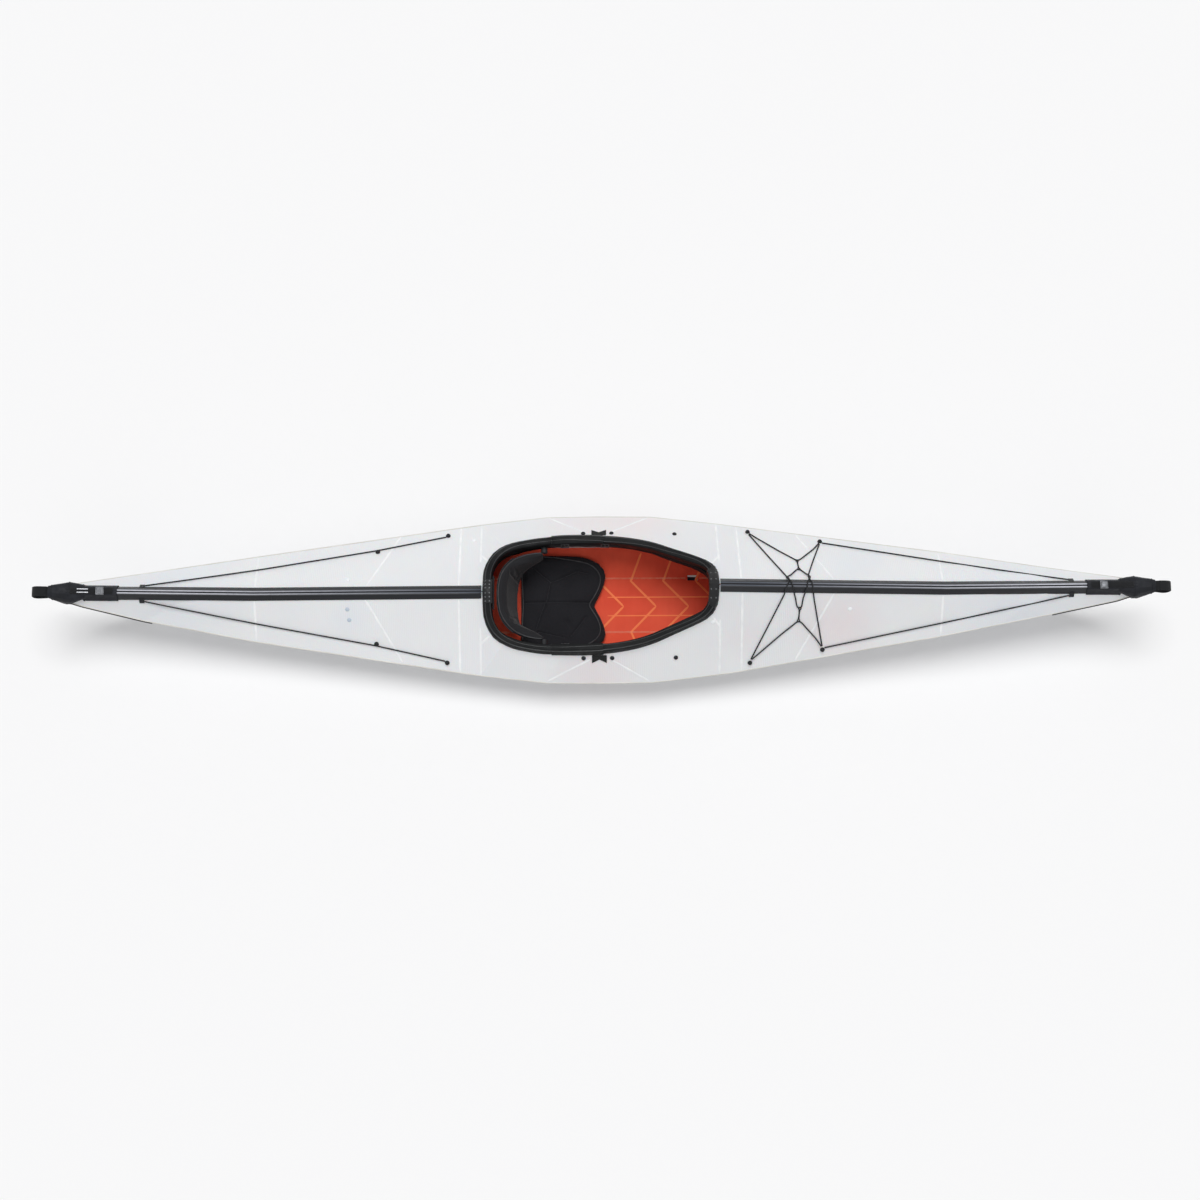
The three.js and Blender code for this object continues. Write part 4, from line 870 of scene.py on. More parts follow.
die_cast = mottled_skin("grey die-casting", (0.09, 0.095, 0.10), 0.38, 0.5, (140.0, 4.0),
                        ((0.050, 0.053, 0.058), (0.150, 0.156, 0.170)), (320.0, 0.30, 0.50),
                        (900.0, 2.0, 0.0002), Metallic=0.55)
for end, sign, _, _ in cap_ends:
    finished_copy(f"{end}_buckle", f"{end}_cam_frame", f"{end}_cap", "buckle", die_cast,
                  frame_edge, 35.0)
    node = f"{end}_buckle_lever"
    finished_copy(node, f"{end}_cam_lever", f"{end}_lever", "buckle", die_cast, lever_edge, 35.0)
    low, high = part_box(node)
    near, far = lever_place
    rise = hull_section(sign * near)[3] - hull_section(sign * far)[3]
    slope = math.atan2(rise, (near - far) * sign)
    middle = Vector(((low[0] + high[0]) / 2, 0.0, high[2] - rib_rise))
    turn = Matrix.Translation(middle) @ Matrix.Rotation(slope, 4, "Y")
    places, faces = [], []
    for k in range(rib_count):
        along = (k - (rib_count - 1) / 2) * rib_pitch
        bar(places, faces, (along - rib_half, -rib_length / 2, 0.0),
            (along + rib_half, rib_length / 2, rib_rise), turn)
    fit_out(new_piece(f"{end}_cam_ribs", places, faces, 40.0), f"{end}_lever", "buckle", die_cast)


# Highlight bars and dark edge rods: two pale bars on the two ribs on top of the stern boot, their
# pale grey a painted highlight, and a thin black rod along the starboard edge of the sheet in
# from each boot.
rib_highlight_start, rib_highlight_length, rib_highlight_side = -1.714, 0.036, 0.0055
rib_highlight_radius, rib_highlight_lift, rib_highlight_steps = 0.0019, 0.0010, 8
dark_rod_outer, dark_rod_length, dark_rod_radius = 1.748, 0.263, 0.0034
dark_rod_out, dark_rod_below, dark_rod_steps = 0.0004, 0.0030, 30

highlight_grey = mottled_skin("bright wire", (0.55, 0.56, 0.58), 0.28, 0.5, (220.0, 3.0),
                           ((0.34, 0.35, 0.38), (0.66, 0.67, 0.70)), Metallic=0.6)
upper_sides = [surface_of(bpy.data.objects[name].data)
               for name in ("stern_boot", "stern_cap_strap")]
places, faces = [], []
for across in (-rib_highlight_side, rib_highlight_side):
    line = []
    for k in range(rib_highlight_steps + 1):
        hits = [drop(side, rib_highlight_start + rib_highlight_length * k / rib_highlight_steps, across, above_cap)
                for side in upper_sides]
        place, normal = max((hit for hit in hits if hit[0]), key=lambda hit: hit[0].z)
        line.append(place + normal * rib_highlight_lift)
    round_rod(places, faces, line, rib_highlight_radius)
fit_out(new_piece("stern_keeper_bars", places, faces, 50.0), "stern_cap", "buckle", highlight_grey)
# A thin black rod along under the starboard edge of the sheet, in from each boot.
for end, sign, _, _ in cap_ends:
    line = []
    for k in range(dark_rod_steps + 1):
        x = sign * (dark_rod_outer - dark_rod_length * k / dark_rod_steps)
        _, beam, gunwale = hull_section(x)[:3]
        line.append(Vector((x, -beam - dark_rod_out, gunwale - dark_rod_below)))
    places, faces = [], []
    round_rod(places, faces, line, dark_rod_radius)
    fit_out(new_piece(f"{end}_edge_guard", places, faces, 60.0), "hull", "rubber", rubber)


# Coaming: a hollow rubber rim in two halves, pressed over the cut edge of the sheet, with a
# soft wall inside. Two sleeves join the halves, and two raised beads run along the rim's top.
sides_of = (("port", 1.0), ("starboard", -1.0))
cockpit_middle = Vector((-0.004, 0.0))
rim_reach, rim_nearest, rim_search_step = 0.46, 0.05, 0.0015
rim_edge, sleeve_edge = 0.0014, 0.0010


def rim_skin():
    skin, tree, shader = new_skin("rim rubber", (0.009, 0.0098, 0.0104), 0.52, 0.10)
    coords = object_coords(tree)
    along = put(tree, "ShaderNodeMapping", {"Vector": coords, "Scale": (14.0, 60.0, 60.0)})
    # Pale streaks along the rim are a painted highlight.
    painted_highlight = ramp(tree, clouds(tree, along.outputs[0], 3.0, 6.0), 0.66, 0.78, 0.0, 0.35)
    base = tint(tree, mottle(tree, coords, 16.0, detail=5.0),
                (0.0066, 0.0072, 0.0076), (0.0125, 0.0135, 0.0142))
    dress(tree, shader, tint(tree, painted_highlight, base, (0.045, 0.048, 0.049)),
          mottle(tree, coords, 36.0, 0.46, 0.62), clouds(tree, coords, 420.0, 3.0), 0.0003)
    return skin


rim_black = rim_skin()
for half in ("rear", "front"):
    finished_copy(f"coaming_{half}", f"rim_{half}", "hull", "rubber", rim_black, rim_edge, 32.0)
for side, _ in sides_of:
    finished_copy(f"coaming_sleeve_{side}", f"rim_sleeve_{side}", "hull", "rubber", rim_black,
                  sleeve_edge, 32.0)
rim_surface = surface_of(*(nodes[f"coaming_{part}"].data for part in (
    "rear", "front", "sleeve_port", "sleeve_starboard")))


def rim_path(inset, count=220):
    """Places and normals round the rim's top, a set distance in from its outer edge."""
    path = []
    for k in range(count + 1):
        turn = math.tau * k / count
        out = Vector((math.cos(turn), math.sin(turn)))
        reach = rim_reach
        while reach > rim_nearest and not drop(rim_surface, *(cockpit_middle + out * reach))[0]:
            reach -= rim_search_step
        path.append(drop(rim_surface, *(cockpit_middle + out * (reach - inset))))
    return [spot for spot in path if spot[0]]


def smooth_path(path, turns=3):
    """Evens out a closed path of places and normals."""
    for _ in range(turns):
        ring = path[:-1]
        size = len(ring)
        path = [((ring[k - 1][0] + ring[k][0] * 2 + ring[(k + 1) % size][0]) / 4,
                 (ring[k - 1][1] + ring[k][1] * 2 + ring[(k + 1) % size][1]).normalized())
                for k in range(size)]
        path.append(path[0])
    return path


def lifted(path, rise):
    """The places of a path, raised along its normals."""
    return [place + normal * rise for place, normal in path]


# Each bead: how far in from the outer edge and its radius
rim_beads = ((0.0085, 0.0021), (0.0245, 0.0015))
bead_lift = 0.0002
places, faces = [], []
for inset, radius in rim_beads:
    round_rod(places, faces, lifted(smooth_path(rim_path(inset)), bead_lift), radius)
bead_black = mottled_skin("rim bead", (0.020, 0.022, 0.023), 0.34, 0.40, (22.0, 4.0),
                          ((0.011, 0.012, 0.013), (0.027, 0.029, 0.031)))
fit_out(new_piece("rim_beads", places, faces, 60.0), "hull", "rubber", bead_black)


# Clamps: moulded plates that hook the rim down over the ends of the rails, each held by rivets
# through its two ears. Side ties are notched tabs of doubled webbing that pull the cheeks of
# the deck in to the rim.
ear_rivet_shares = (-1.0, -0.62, -0.25, 0.25, 0.62, 1.0)
ear_rivet_rows = (0.30, 0.72)
ear_inset = 0.006
rivet_radius, rivet_height, rivet_sink = 0.0030, 0.0018, 0.0002
tie_edge = 0.0006
# Rows of a rivet from its base to its crown, as shares of its radius and height
rivet_rows = ((1.0, 0.0), (1.0, 0.18), (0.94, 0.34), (0.78, 0.52), (0.70, 0.56), (0.5, 0.82),
              (0.22, 0.98))
ahead_of_boat = (1.0, 0.0, 0.0)


def grained_plastic(name, colour, roughness=0.55):
    skin, tree, shader = new_skin(name, colour, roughness, 0.2)
    coords = object_coords(tree)
    base = tint(tree, mottle(tree, coords, 40.0, detail=4.0),
                tuple(c * 0.8 for c in colour), tuple(c * 1.35 for c in colour))
    dress(tree, shader, base, mottle(tree, coords, 130.0, roughness - 0.08, roughness + 0.08),
          cells(tree, coords, 1100.0), 0.00025)
    return skin


def turned_head(name, rows, sides=24, sharp=38.0):
    """A turned fastener on its own origin, from rows of radius, height and, where the row
    isn't round, its number of corners."""
    places, faces = [], []
    for radius, height, *corners in rows:
        for k in range(sides):
            turn = math.tau * k / sides
            reach = radius
            if corners:
                wedge = math.tau / corners[0]
                reach *= math.cos(wedge / 2) / math.cos((turn % wedge) - wedge / 2)
            places.append((math.cos(turn) * reach, math.sin(turn) * reach, height))
    close_rings(faces, 0, len(rows), sides)
    data = bpy.data.meshes.new(name)
    data.from_pydata(places, [], faces)
    data.shade_smooth()
    if sharp:
        data.set_sharp_from_angle(angle=math.radians(sharp))
    return bpy.data.objects.new(name, data)


def rivet_head(name, radius, height, sides=16):
    return turned_head(name, [(radius * r, height * h) for r, h in rivet_rows], sides, None)


def placing_tree():
    """Geometry Nodes: sets a copy of a given fastener on every point of a mesh."""
    tree, given = start_tree("fasteners", Fastener="Object", Loose_Turn="Float")
    piece = put(tree, "GeometryNodeObjectInfo", {"Object": given["Fastener"]})
    chance = put(tree, "FunctionNodeRandomValue", {"Seed": 7}, data_type="FLOAT")
    angle = maths(tree, "MULTIPLY", chance.outputs[1], given["Loose Turn"])
    spin = put(tree, "ShaderNodeCombineXYZ", {2: angle})
    spin_turn = put(tree, "FunctionNodeEulerToRotation", {0: spin.outputs[0]})
    rotation = put(tree, "FunctionNodeRotateRotation", {
        0: marked_turn(tree), 1: spin_turn.outputs[0]}, rotation_space="LOCAL")
    copies = put(tree, "GeometryNodeInstanceOnPoints", {
        "Points": given["Geometry"], "Instance": piece.outputs["Geometry"],
        "Rotation": rotation.outputs[0]})
    return end_tree(tree, given, copies.outputs[0])


def set_fasteners(name, spots, fastener, slot, skin, *replaced, loose=0.0):
    spots = [(*spot, ahead_of_boat) for spot in spots]
    return from_nodes(marked_points(name, spots), fasteners, {
        "Fastener": fastener, "Loose Turn": loose, "Finish": skin}, "hull", slot, *replaced)


fasteners = placing_tree()
clamp_black = grained_plastic("clamp plastic", (0.012, 0.0125, 0.0135), 0.42)
rivet_grey = new_skin("rivet", (0.10, 0.105, 0.11), 0.30, 0.5, Metallic=0.8)[0]
small_rivet = rivet_head("small_rivet", rivet_radius, rivet_height)
for end in ("rear", "front"):
    node = f"coaming_clamp_{end}"
    clamp = clean_copy(node, f"rim_clamp_{end}", 34.0)
    fit_out(clamp, "hull", "plastic", clamp_black, node)
    surface = surface_of(clamp.data)
    low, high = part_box(node)
    hits = [drop(surface, low[0] + (high[0] - low[0]) * back, (high[1] - ear_inset) * across)
            for across in ear_rivet_shares for back in ear_rivet_rows]
    spots = [(place - normal * rivet_sink, normal) for place, normal in hits if place]
    set_fasteners(f"clamp_rivets_{end}", spots, small_rivet, "plastic", rivet_grey)
tie_web = web_skin("tie webbing", (0.011, 0.0115, 0.012), "Y", 0.0014)
for side, _ in sides_of:
    finished_copy(f"side_tie_{side}", f"cheek_tie_{side}", "hull", "web", tie_web, tie_edge,
                  shading=34.0)


# Screws: round black heads with a hexagon socket, through the deck beside the cockpit. Knobs:
# round shock-cord anchors with a waist, a domed cap and a pin, where the deck lines turn or end.
# Rows from the base up: radius, height and, at the socket and the pin, six corners.
screw_rows = (
    (0.0075, 0.0), (0.0075, 0.0014), (0.0072, 0.0022), (0.0062, 0.0034),
    (0.0048, 0.0042), (0.0040, 0.0044), (0.0036, 0.0044, 6), (0.0034, 0.0020, 6),
)
knob_rows = (
    (0.0052, 0.0), (0.0042, 0.0010), (0.0038, 0.0024), (0.0044, 0.0036),
    (0.0064, 0.0046), (0.0065, 0.0056), (0.0058, 0.0074), (0.0040, 0.0085),
    (0.0026, 0.0088), (0.0022, 0.0082), (0.0016, 0.0082, 6), (0.0012, 0.0088, 6),
)
head_rise, head_loose_turn = 0.0003, 6.0


def seat_of(name):
    """Where on the deck the CAD seats a fastener, and the way the deck faces there."""
    low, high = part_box(name)
    return drop(hull_surface, (low[0] + high[0]) / 2, (low[1] + high[1]) / 2)


screw_names = [f"screw_{at}_{side}" for side, _ in sides_of for at in ("rear", "middle", "front")]
knob_names = [f"knob_{at}_{side}" for side, _ in sides_of
              for at in ("stern_mid", "stern_end", "bow_rear", "bow_front")]
knob_black = grained_plastic("knob plastic", (0.012, 0.0125, 0.014), 0.48)
screw_black = grained_plastic("screw black", (0.018, 0.020, 0.024), 0.36)
for name, heads, head, slot, skin in (
        ("deck_screws", screw_names, turned_head("screw_head", screw_rows), "screw", screw_black),
        ("line_knobs", knob_names, turned_head("knob_head", knob_rows), "plastic", knob_black)):
    spots = [(place + normal * head_rise, normal) for place, normal in map(seat_of, heads)]
    set_fasteners(name, spots, head, slot, skin, *heads, loose=head_loose_turn)


# Buttons: flat round heads pressed through the sheet where the bulkheads and the foot strip
# hold inside, white like the sheet, with two bluish ones near the stern.
button_radius, button_height = 0.0072, 0.0024
button_head = rivet_head("sheet_button", button_radius, button_height, 20)
pale_button = new_skin("pale button", (0.86, 0.88, 0.90), 0.26, 0.5)[0]
blue_button = new_skin("bluish button", (0.50, 0.57, 0.66), 0.30, 0.5)[0]
for name, skin, spots in (
        ("sheet_buttons", pale_button,
         ((-0.838, 0.050), (0.365, -0.107), (0.815, -0.066), (-0.426, 0.199))),
        ("stern_button", blue_button, ((-0.833, -0.082), (-0.838, -0.050)))):
    points = [drop(hull_surface, x, y) for x, y in spots]
    set_fasteners(name, points, button_head, "sheet", skin)


# Deck lines: 4.5 mm braided shock cord, stretched between the knobs, the moulded eyes at the
# rail ends and two hooks. Each length is turned round a knob's waist at its end.
# A route's points give, in metres, place along, place across and rise above the deck.
line_thickness, line_bend = 0.0045, 0.008
line_step = 0.095
braid_lay, braid_strands = 2200.0, 8.0
side_lines = {
    "stern_line": ((-0.5189, 0.2113, 0.0034), (-0.7370, 0.1639, 0.0034), (-0.7450, 0.1623, 0.0034),
                   (-0.7530, 0.1606, 0.0034), (-1.5012, 0.0270, 0.0036)),
    "bow_line": ((0.7359, 0.1778, 0.0034), (1.5312, 0.0270, 0.0036)),
    "bow_cross": ((0.4956, 0.2138, 0.0090), (0.5200, 0.1950, 0.0050), (0.5900, 0.1410, 0.0034),
                  (0.6350, 0.1090, 0.0034), (0.6410, 0.1048, 0.0034), (0.6470, 0.1033, 0.0034),
                  (0.6530, 0.1048, 0.0034), (0.6590, 0.1090, 0.0034), (0.7050, 0.1510, 0.0042),
                  (0.7241, 0.1743, 0.0090)),
}
cross_lines = {
    "lattice_cord_aft": (
        (0.4939, 0.2117, 0.0026), (0.5550, 0.1130, 0.0034), (0.6040, 0.0360, 0.0042),
        (0.6110, 0.0260, 0.0065), (0.6130, 0.0190, 0.0130), (0.6110, 0.0110, 0.0196),
        (0.6000, -0.0110, 0.0196), (0.5980, -0.0190, 0.0130), (0.5960, -0.0270, 0.0065),
        (0.5900, -0.0380, 0.0042), (0.5410, -0.1270, 0.0034), (0.4933, -0.2120, 0.0026)),
    "lattice_cord_fore": (
        (0.7266, 0.1726, 0.0026), (0.7000, 0.1050, 0.0034), (0.6780, 0.0440, 0.0042),
        (0.6775, 0.0270, 0.0065), (0.6805, 0.0190, 0.0130), (0.6840, 0.0110, 0.0196),
        (0.6880, -0.0110, 0.0196), (0.6900, -0.0190, 0.0130), (0.6915, -0.0270, 0.0065),
        (0.6940, -0.0380, 0.0042), (0.7110, -0.1070, 0.0034), (0.7275, -0.1724, 0.0026)),
}
closed_line = (
    (0.6410, 0.0635, 0.0034), (0.6470, 0.0651, 0.0034), (0.6530, 0.0635, 0.0034),
    (0.6600, 0.0560, 0.0050), (0.6690, 0.0460, 0.0080), (0.6770, 0.0390, 0.0125),
    (0.6815, 0.0330, 0.0140), (0.6810, 0.0270, 0.0170), (0.6760, 0.0190, 0.0220),
    (0.6710, 0.0110, 0.0210), (0.6680, -0.0110, 0.0206), (0.6650, -0.0190, 0.0140),
    (0.6620, -0.0270, 0.0070), (0.6580, -0.0380, 0.0044), (0.6550, -0.0580, 0.0036),
    (0.6530, -0.0635, 0.0034), (0.6470, -0.0651, 0.0034), (0.6410, -0.0635, 0.0034),
    (0.6380, -0.0580, 0.0036), (0.6330, -0.0380, 0.0044), (0.6290, -0.0270, 0.0070),
    (0.6260, -0.0190, 0.0140), (0.6230, -0.0110, 0.0206), (0.6190, 0.0000, 0.0150),
    (0.6145, 0.0110, 0.0280), (0.6070, 0.0190, 0.0220), (0.6025, 0.0250, 0.0170),
    (0.6060, 0.0305, 0.0135), (0.6180, 0.0390, 0.0090), (0.6320, 0.0540, 0.0050),
)


def above_deck(x, y, rise):
    _, beam, gunwale, ridge = hull_section(x)[:4]
    return Vector((x, y, gunwale + (ridge - gunwale) * (beam - abs(y)) / beam + rise))


def laid_line(route, side=1.0):
    """A route's points in space, with more between them so that the cord follows the deck."""
    points = []
    for (x0, y0, r0), (x1, y1, r1) in zip(route, route[1:]):
        parts = max(1, round(math.hypot(x1 - x0, y1 - y0) / line_step))
        for t in (k / parts for k in range(parts)):
            points.append(above_deck(x0 + (x1 - x0) * t, side * (y0 + (y1 - y0) * t),
                                     r0 + (r1 - r0) * t))
    x, y, rise = route[-1]
    return points + [above_deck(x, side * y, rise)]


def cord_tree():
    """Geometry Nodes: a round cord along a bent line, its bends eased, with its run stored."""
    tree, given = start_tree("shock cord", Thickness="Float", Bend_Radius="Float")
    line = put(tree, "GeometryNodeMeshToCurve", {0: given["Geometry"]})
    eased = put(tree, "GeometryNodeFilletCurve", {
        "Curve": line.outputs[0], "Count": 5, "Radius": given["Bend Radius"],
        "Limit Radius": True}, mode="POLY")
    ring = put(tree, "GeometryNodeCurvePrimitiveCircle", {
        "Resolution": 12, "Radius": maths(tree, "MULTIPLY", given["Thickness"], 0.5)})
    marked, ring_marked = (
        put(tree, "GeometryNodeStoreNamedAttribute", {
            "Geometry": curve.outputs[0], "Name": name,
            "Value": put(tree, "GeometryNodeSplineParameter").outputs[measure]},
            data_type="FLOAT", domain="POINT").outputs[0]
        for curve, name, measure in ((eased, "cord_run", "Length"), (ring, "cord_turn", "Factor")))
    body = put(tree, "GeometryNodeCurveToMesh", {
        "Curve": marked, "Profile Curve": ring_marked, "Fill Caps": True})
    smooth = put(tree, "GeometryNodeSetShadeSmooth", {
        "Geometry": body.outputs[0], "Shade Smooth": True})
    return end_tree(tree, given, smooth.outputs[0])


def cord_skin():
    skin, tree, shader = new_skin("braided cord", (0.018, 0.0185, 0.020), 0.72, 0.16,
                                  Sheen_Weight=0.06, Sheen_Roughness=0.5)
    run, turn = (put(tree, "ShaderNodeAttribute", attribute_name=name).outputs["Fac"]
                 for name in ("cord_run", "cord_turn"))
    lay = maths(tree, "MULTIPLY", run, braid_lay)
    strands = [maths(tree, "SINE", maths(tree, "ADD", lay, maths(tree, "MULTIPLY", turn, twist)))
               for twist in (braid_strands * math.tau, -braid_strands * math.tau)]
    level = ramp(tree, maths(tree, "MAXIMUM", *strands), -0.6, 1.0)
    dress(tree, shader, tint(tree, level, (0.007, 0.007, 0.0075), (0.034, 0.035, 0.038)),
          height=level, relief=0.0005)
    return skin


def run_cord(name, points, *replaced, closed=False, thickness=line_thickness, bend=line_bend):
    edges = [(k, k + 1) for k in range(len(points) - 1)]
    if closed:
        edges.append((len(points) - 1, 0))
    return from_nodes(bare_mesh(name, points, edges), cords, {
        "Thickness": thickness, "Bend Radius": bend, "Finish": cord_black},
        "hull", "cord", *replaced)


cords = cord_tree()
cord_black = cord_skin()
for side, sign in sides_of:
    for line, route in side_lines.items():
        run_cord(f"{line}_{side}_cord", laid_line(route, sign), f"{line}_{side}")
for line, route in cross_lines.items():
    run_cord(f"{line}_run", laid_line(route), line)
round_trip = laid_line((*closed_line, closed_line[0]))
run_cord("centre_loop_run", round_trip[:-1], "centre_loop", closed=True)


# Knots: the cord's end is turned once round each knob's waist. Hooks: two-eyed plastic links
# that join the crossing lines to the loop.
knot_rise, knot_radius, knot_thickness, knot_bend = 0.0027, 0.0060, 0.0040, 0.002
hook_place = (0.647, 0.082)
hook_rise = 0.0028
eye_reach, eye_radius, eye_stretch, eye_thickness = 0.0228, 0.0043, 1.12, 0.0015
# The stem between the eyes: place along it and half width
stem_rows = ((-0.0184, 0.0032), (-0.008, 0.0024), (0.0, 0.0021), (0.008, 0.0024), (0.0184, 0.0032))
stem_half_height, stem_sides = 0.0020, 10

for name in knob_names:
    place, normal = seat_of(name)
    across = normal.cross(Vector(ahead_of_boat)).normalized()
    ring = circle(place + normal * knot_rise, across.cross(normal), across, knot_radius, 20)
    run_cord(f"{name}_turn", ring, closed=True, thickness=knot_thickness, bend=knot_bend)


def link_hook(name, x, y):
    place, normal = drop(hull_surface, x, y)
    ahead = (Vector((0.0, 1.0, 0.0)) - normal * normal.y).normalized()
    across = ahead.cross(normal)
    middle = place + normal * hook_rise
    places, faces = [], []
    for eye in (-eye_reach, eye_reach):
        ring = circle(middle + ahead * eye, ahead * eye_stretch, across, eye_radius, 28)
        round_rod(places, faces, ring + ring[:1], eye_thickness)
    start = len(places)
    for along, wide in stem_rows:
        places += circle(middle + ahead * along, across * wide, normal * stem_half_height, 1.0,
                         stem_sides)
    close_rings(faces, start, len(stem_rows), stem_sides)
    hook = new_piece(name, places, faces, 50.0)
    mesh = bmesh.new()
    mesh.from_mesh(hook.data)
    bmesh.ops.recalc_face_normals(mesh, faces=mesh.faces)
    mesh.to_mesh(hook.data)
    mesh.free()
    return hook


for side, sign in sides_of:
    x, y = hook_place
    fit_out(link_hook(f"line_hook_{side}", x, y * sign), "hull", "plastic", knob_black,
            f"cord_hook_{side}")


# Floorboard: a red-orange corrugated sheet laid in the bottom, its sides turned up on two
# perforated folds, with one slot through it. It is printed with plain paler stripes in chevrons.
above_board = 0.15
board_flutes = 78.5
board_folds = (0.0975, -0.0885)
board_span = (-0.425, 0.685)
perforation_pitch, perforation_length, perforation_thickness = 0.0040, 0.0065, 0.0014
slot_gap = (0.286, 0.334)
chevron_tips = (0.075, 0.185, 0.295, 0.405, 0.515, 0.625)
# A chevron's corners: place behind its tip and place across
chevron_arm = ((0.0, 0.0), (0.085, 0.088), (0.050, 0.178))
chevron_step = 0.01
print_front, print_behind_seat, print_seat_half = 0.69, 0.067, 0.088
stripe_width, stripe_rise = 0.0085, 0.00035
long_stripes = (0.032, -0.032)
long_stripe_span, long_stripe_step = (0.02, 0.68), 0.02
long_stripe_width, long_stripe_rise = 0.0051, 0.00030
print_sink, print_taper = 0.0004, 0.001
cut_lift = 0.0002


def board_skin():
    skin, tree, shader = new_skin("red corrugated sheet", (0.84, 0.098, 0.044), 0.50, 0.12)
    coords = object_coords(tree)
    ribs = flutes(tree, coords, board_flutes)
    base = tint(tree, mottle(tree, coords, 7.0, detail=4.0),
                (0.760, 0.076, 0.037), (0.900, 0.120, 0.060))
    base = tint(tree, maths(tree, "MULTIPLY", ribs, 0.34), base, (0.58, 0.053, 0.029))
    dress(tree, shader, base, mottle(tree, coords, 22.0, 0.42, 0.56), ribs, 0.0006)
    return skin


board = clean_copy("floorboard", "red_floorboard", 12.0)
fit_out(board, "hull", "floor", board_skin(), "floorboard")
board_surface = surface_of(board.data)


def printed_stripes():
    places, faces = [], []
    for tip in chevron_tips:
        for side in (1.0, -1.0):
            arm = fine_steps([(tip - back, side * across) for back, across in chevron_arm],
                             chevron_step)
            arm = [p for p in arm if p.x < print_front
                   and (p.x > print_behind_seat or abs(p.y) < print_seat_half)]
            path = [drop(board_surface, p.x, p.y, above_board) for p in arm]
            path = [spot for spot in path if spot[0]]
            if len(path) > 1:
                ribbon(places, faces, path, stripe_width, stripe_rise, print_sink, print_taper)
    for across in long_stripes:
        path = laid_path(board_surface, [(x, across) for x in long_stripe_span],
                         long_stripe_step, above_board)
        ribbon(places, faces, path, long_stripe_width, long_stripe_rise, print_sink, print_taper)
    return new_piece("printed_stripes", places, faces, 60.0)


def print_skin():
    skin, tree, shader = new_skin("orange print", (0.98, 0.24, 0.088), 0.50, 0.12)
    ribs = flutes(tree, object_coords(tree), board_flutes)
    dress(tree, shader, tint(tree, ribs, (1.0, 0.262, 0.098), (0.94, 0.205, 0.074)),
          height=ribs, relief=0.0004)
    return skin


fit_out(printed_stripes(), "hull", "floor", print_skin())
pale_cut = mottled_skin("pale cut", (0.80, 0.42, 0.28), 0.5, 0.3, (40.0, 3.0),
                        ((0.74, 0.30, 0.18), (0.86, 0.55, 0.40)))
spots = []
for across in board_folds:
    for k in range(int((board_span[1] - board_span[0]) / perforation_pitch)):
        x = board_span[0] + k * perforation_pitch
        place, normal = drop(board_surface, x, across, above_board)
        if place and not (slot_gap[0] < x < slot_gap[1] and across > 0):
            spots.append((place + normal * cut_lift, (0.0, 0.0, 1.0), (0.0, 1.0, 0.0)))
from_nodes(marked_points("fold_perforations", spots), stitches, {
    "Thread Length": perforation_length, "Thread Thickness": perforation_thickness,
    "Finish": pale_cut}, "hull", "floor")


# Slot shade and floor patches: a thin black sheet under the slot, painted shade that darkens the
# slot, and two strips of grey hook-and-loop tape welded to the board behind the seat.
slot_shade_line = ((0.2925, 0.1068), (0.2925, 0.0893), (0.3180, 0.0893), (0.3270, 0.1000),
            (0.3150, 0.1068))
slot_shade_thickness, slot_shade_sink = 0.0012, 0.0034
slot_edges = ((0.310, 0.083), (0.310, 0.113))
# Each patch: its two ends in plan and its width
patches = ((((-0.380, 0.1625), (-0.334, 0.1620)), 0.019),
           (((-0.319, 0.0935), (-0.279, 0.0935)), 0.027))
patch_step, patch_rise = 0.005, 0.0016

# A black sheet below the slot, as painted shade.
slot_shade_low = min(drop(board_surface, x, y, above_board)[0].z for x, y in slot_edges) - slot_shade_sink
places = [Vector((x, y, z)) for z in (slot_shade_low, slot_shade_low + slot_shade_thickness) for x, y in slot_shade_line]
faces = []
close_rings(faces, 0, 2, len(slot_shade_line))
fit_out(new_piece("slot_tab", places, faces, 40.0), "hull", "web", web_black)
patch_grey = web_skin("grey hook tape", (0.125, 0.125, 0.105), "X", 0.0018)
places, faces = [], []
for line, width in patches:
    path = laid_path(board_surface, line, patch_step, above_board)
    ribbon(places, faces, path, width, patch_rise, taper=blunt)
fit_out(new_piece("floor_patches", places, faces, 50.0), "hull", "web", patch_grey)


# Bulkheads and footrest: panels of the white corrugated sheet. The bulkheads stand across the
# hull and hold it open, with a ringed hand hole and a bound top edge; the footrest is bent from
# one panel and slides along a hook-and-loop strip.
hand_hole_radius, hole_ring_radius = 0.0232, 0.0014
tape_length, tape_width, tape_rise, tape_below_top = 0.052, 0.015, 0.0007, 0.0095
tape_steps, tape_search = 32, 0.1
strip_edge = 0.0008
# Each bulkhead: its name, its body and the height of its hand hole
bulkheads = (("rear_bulkhead", "rear_prop", 0.1235), ("front_bulkhead", "front_prop", 0.1575))


def panel_skin():
    skin, tree, shader = new_skin("white panel", (0.72, 0.735, 0.755), 0.36, 0.42)
    coords = object_coords(tree)
    ribs = flutes(tree, coords, 62.0, direction="Y")
    base = tint(tree, mottle(tree, coords, 8.0), (0.68, 0.70, 0.73), (0.76, 0.77, 0.785))
    base = tint(tree, maths(tree, "MULTIPLY", ribs, 0.14), base, (0.52, 0.54, 0.58))
    dress(tree, shader, base, mottle(tree, coords, 30.0, 0.30, 0.44), ribs, 0.0007)
    return skin


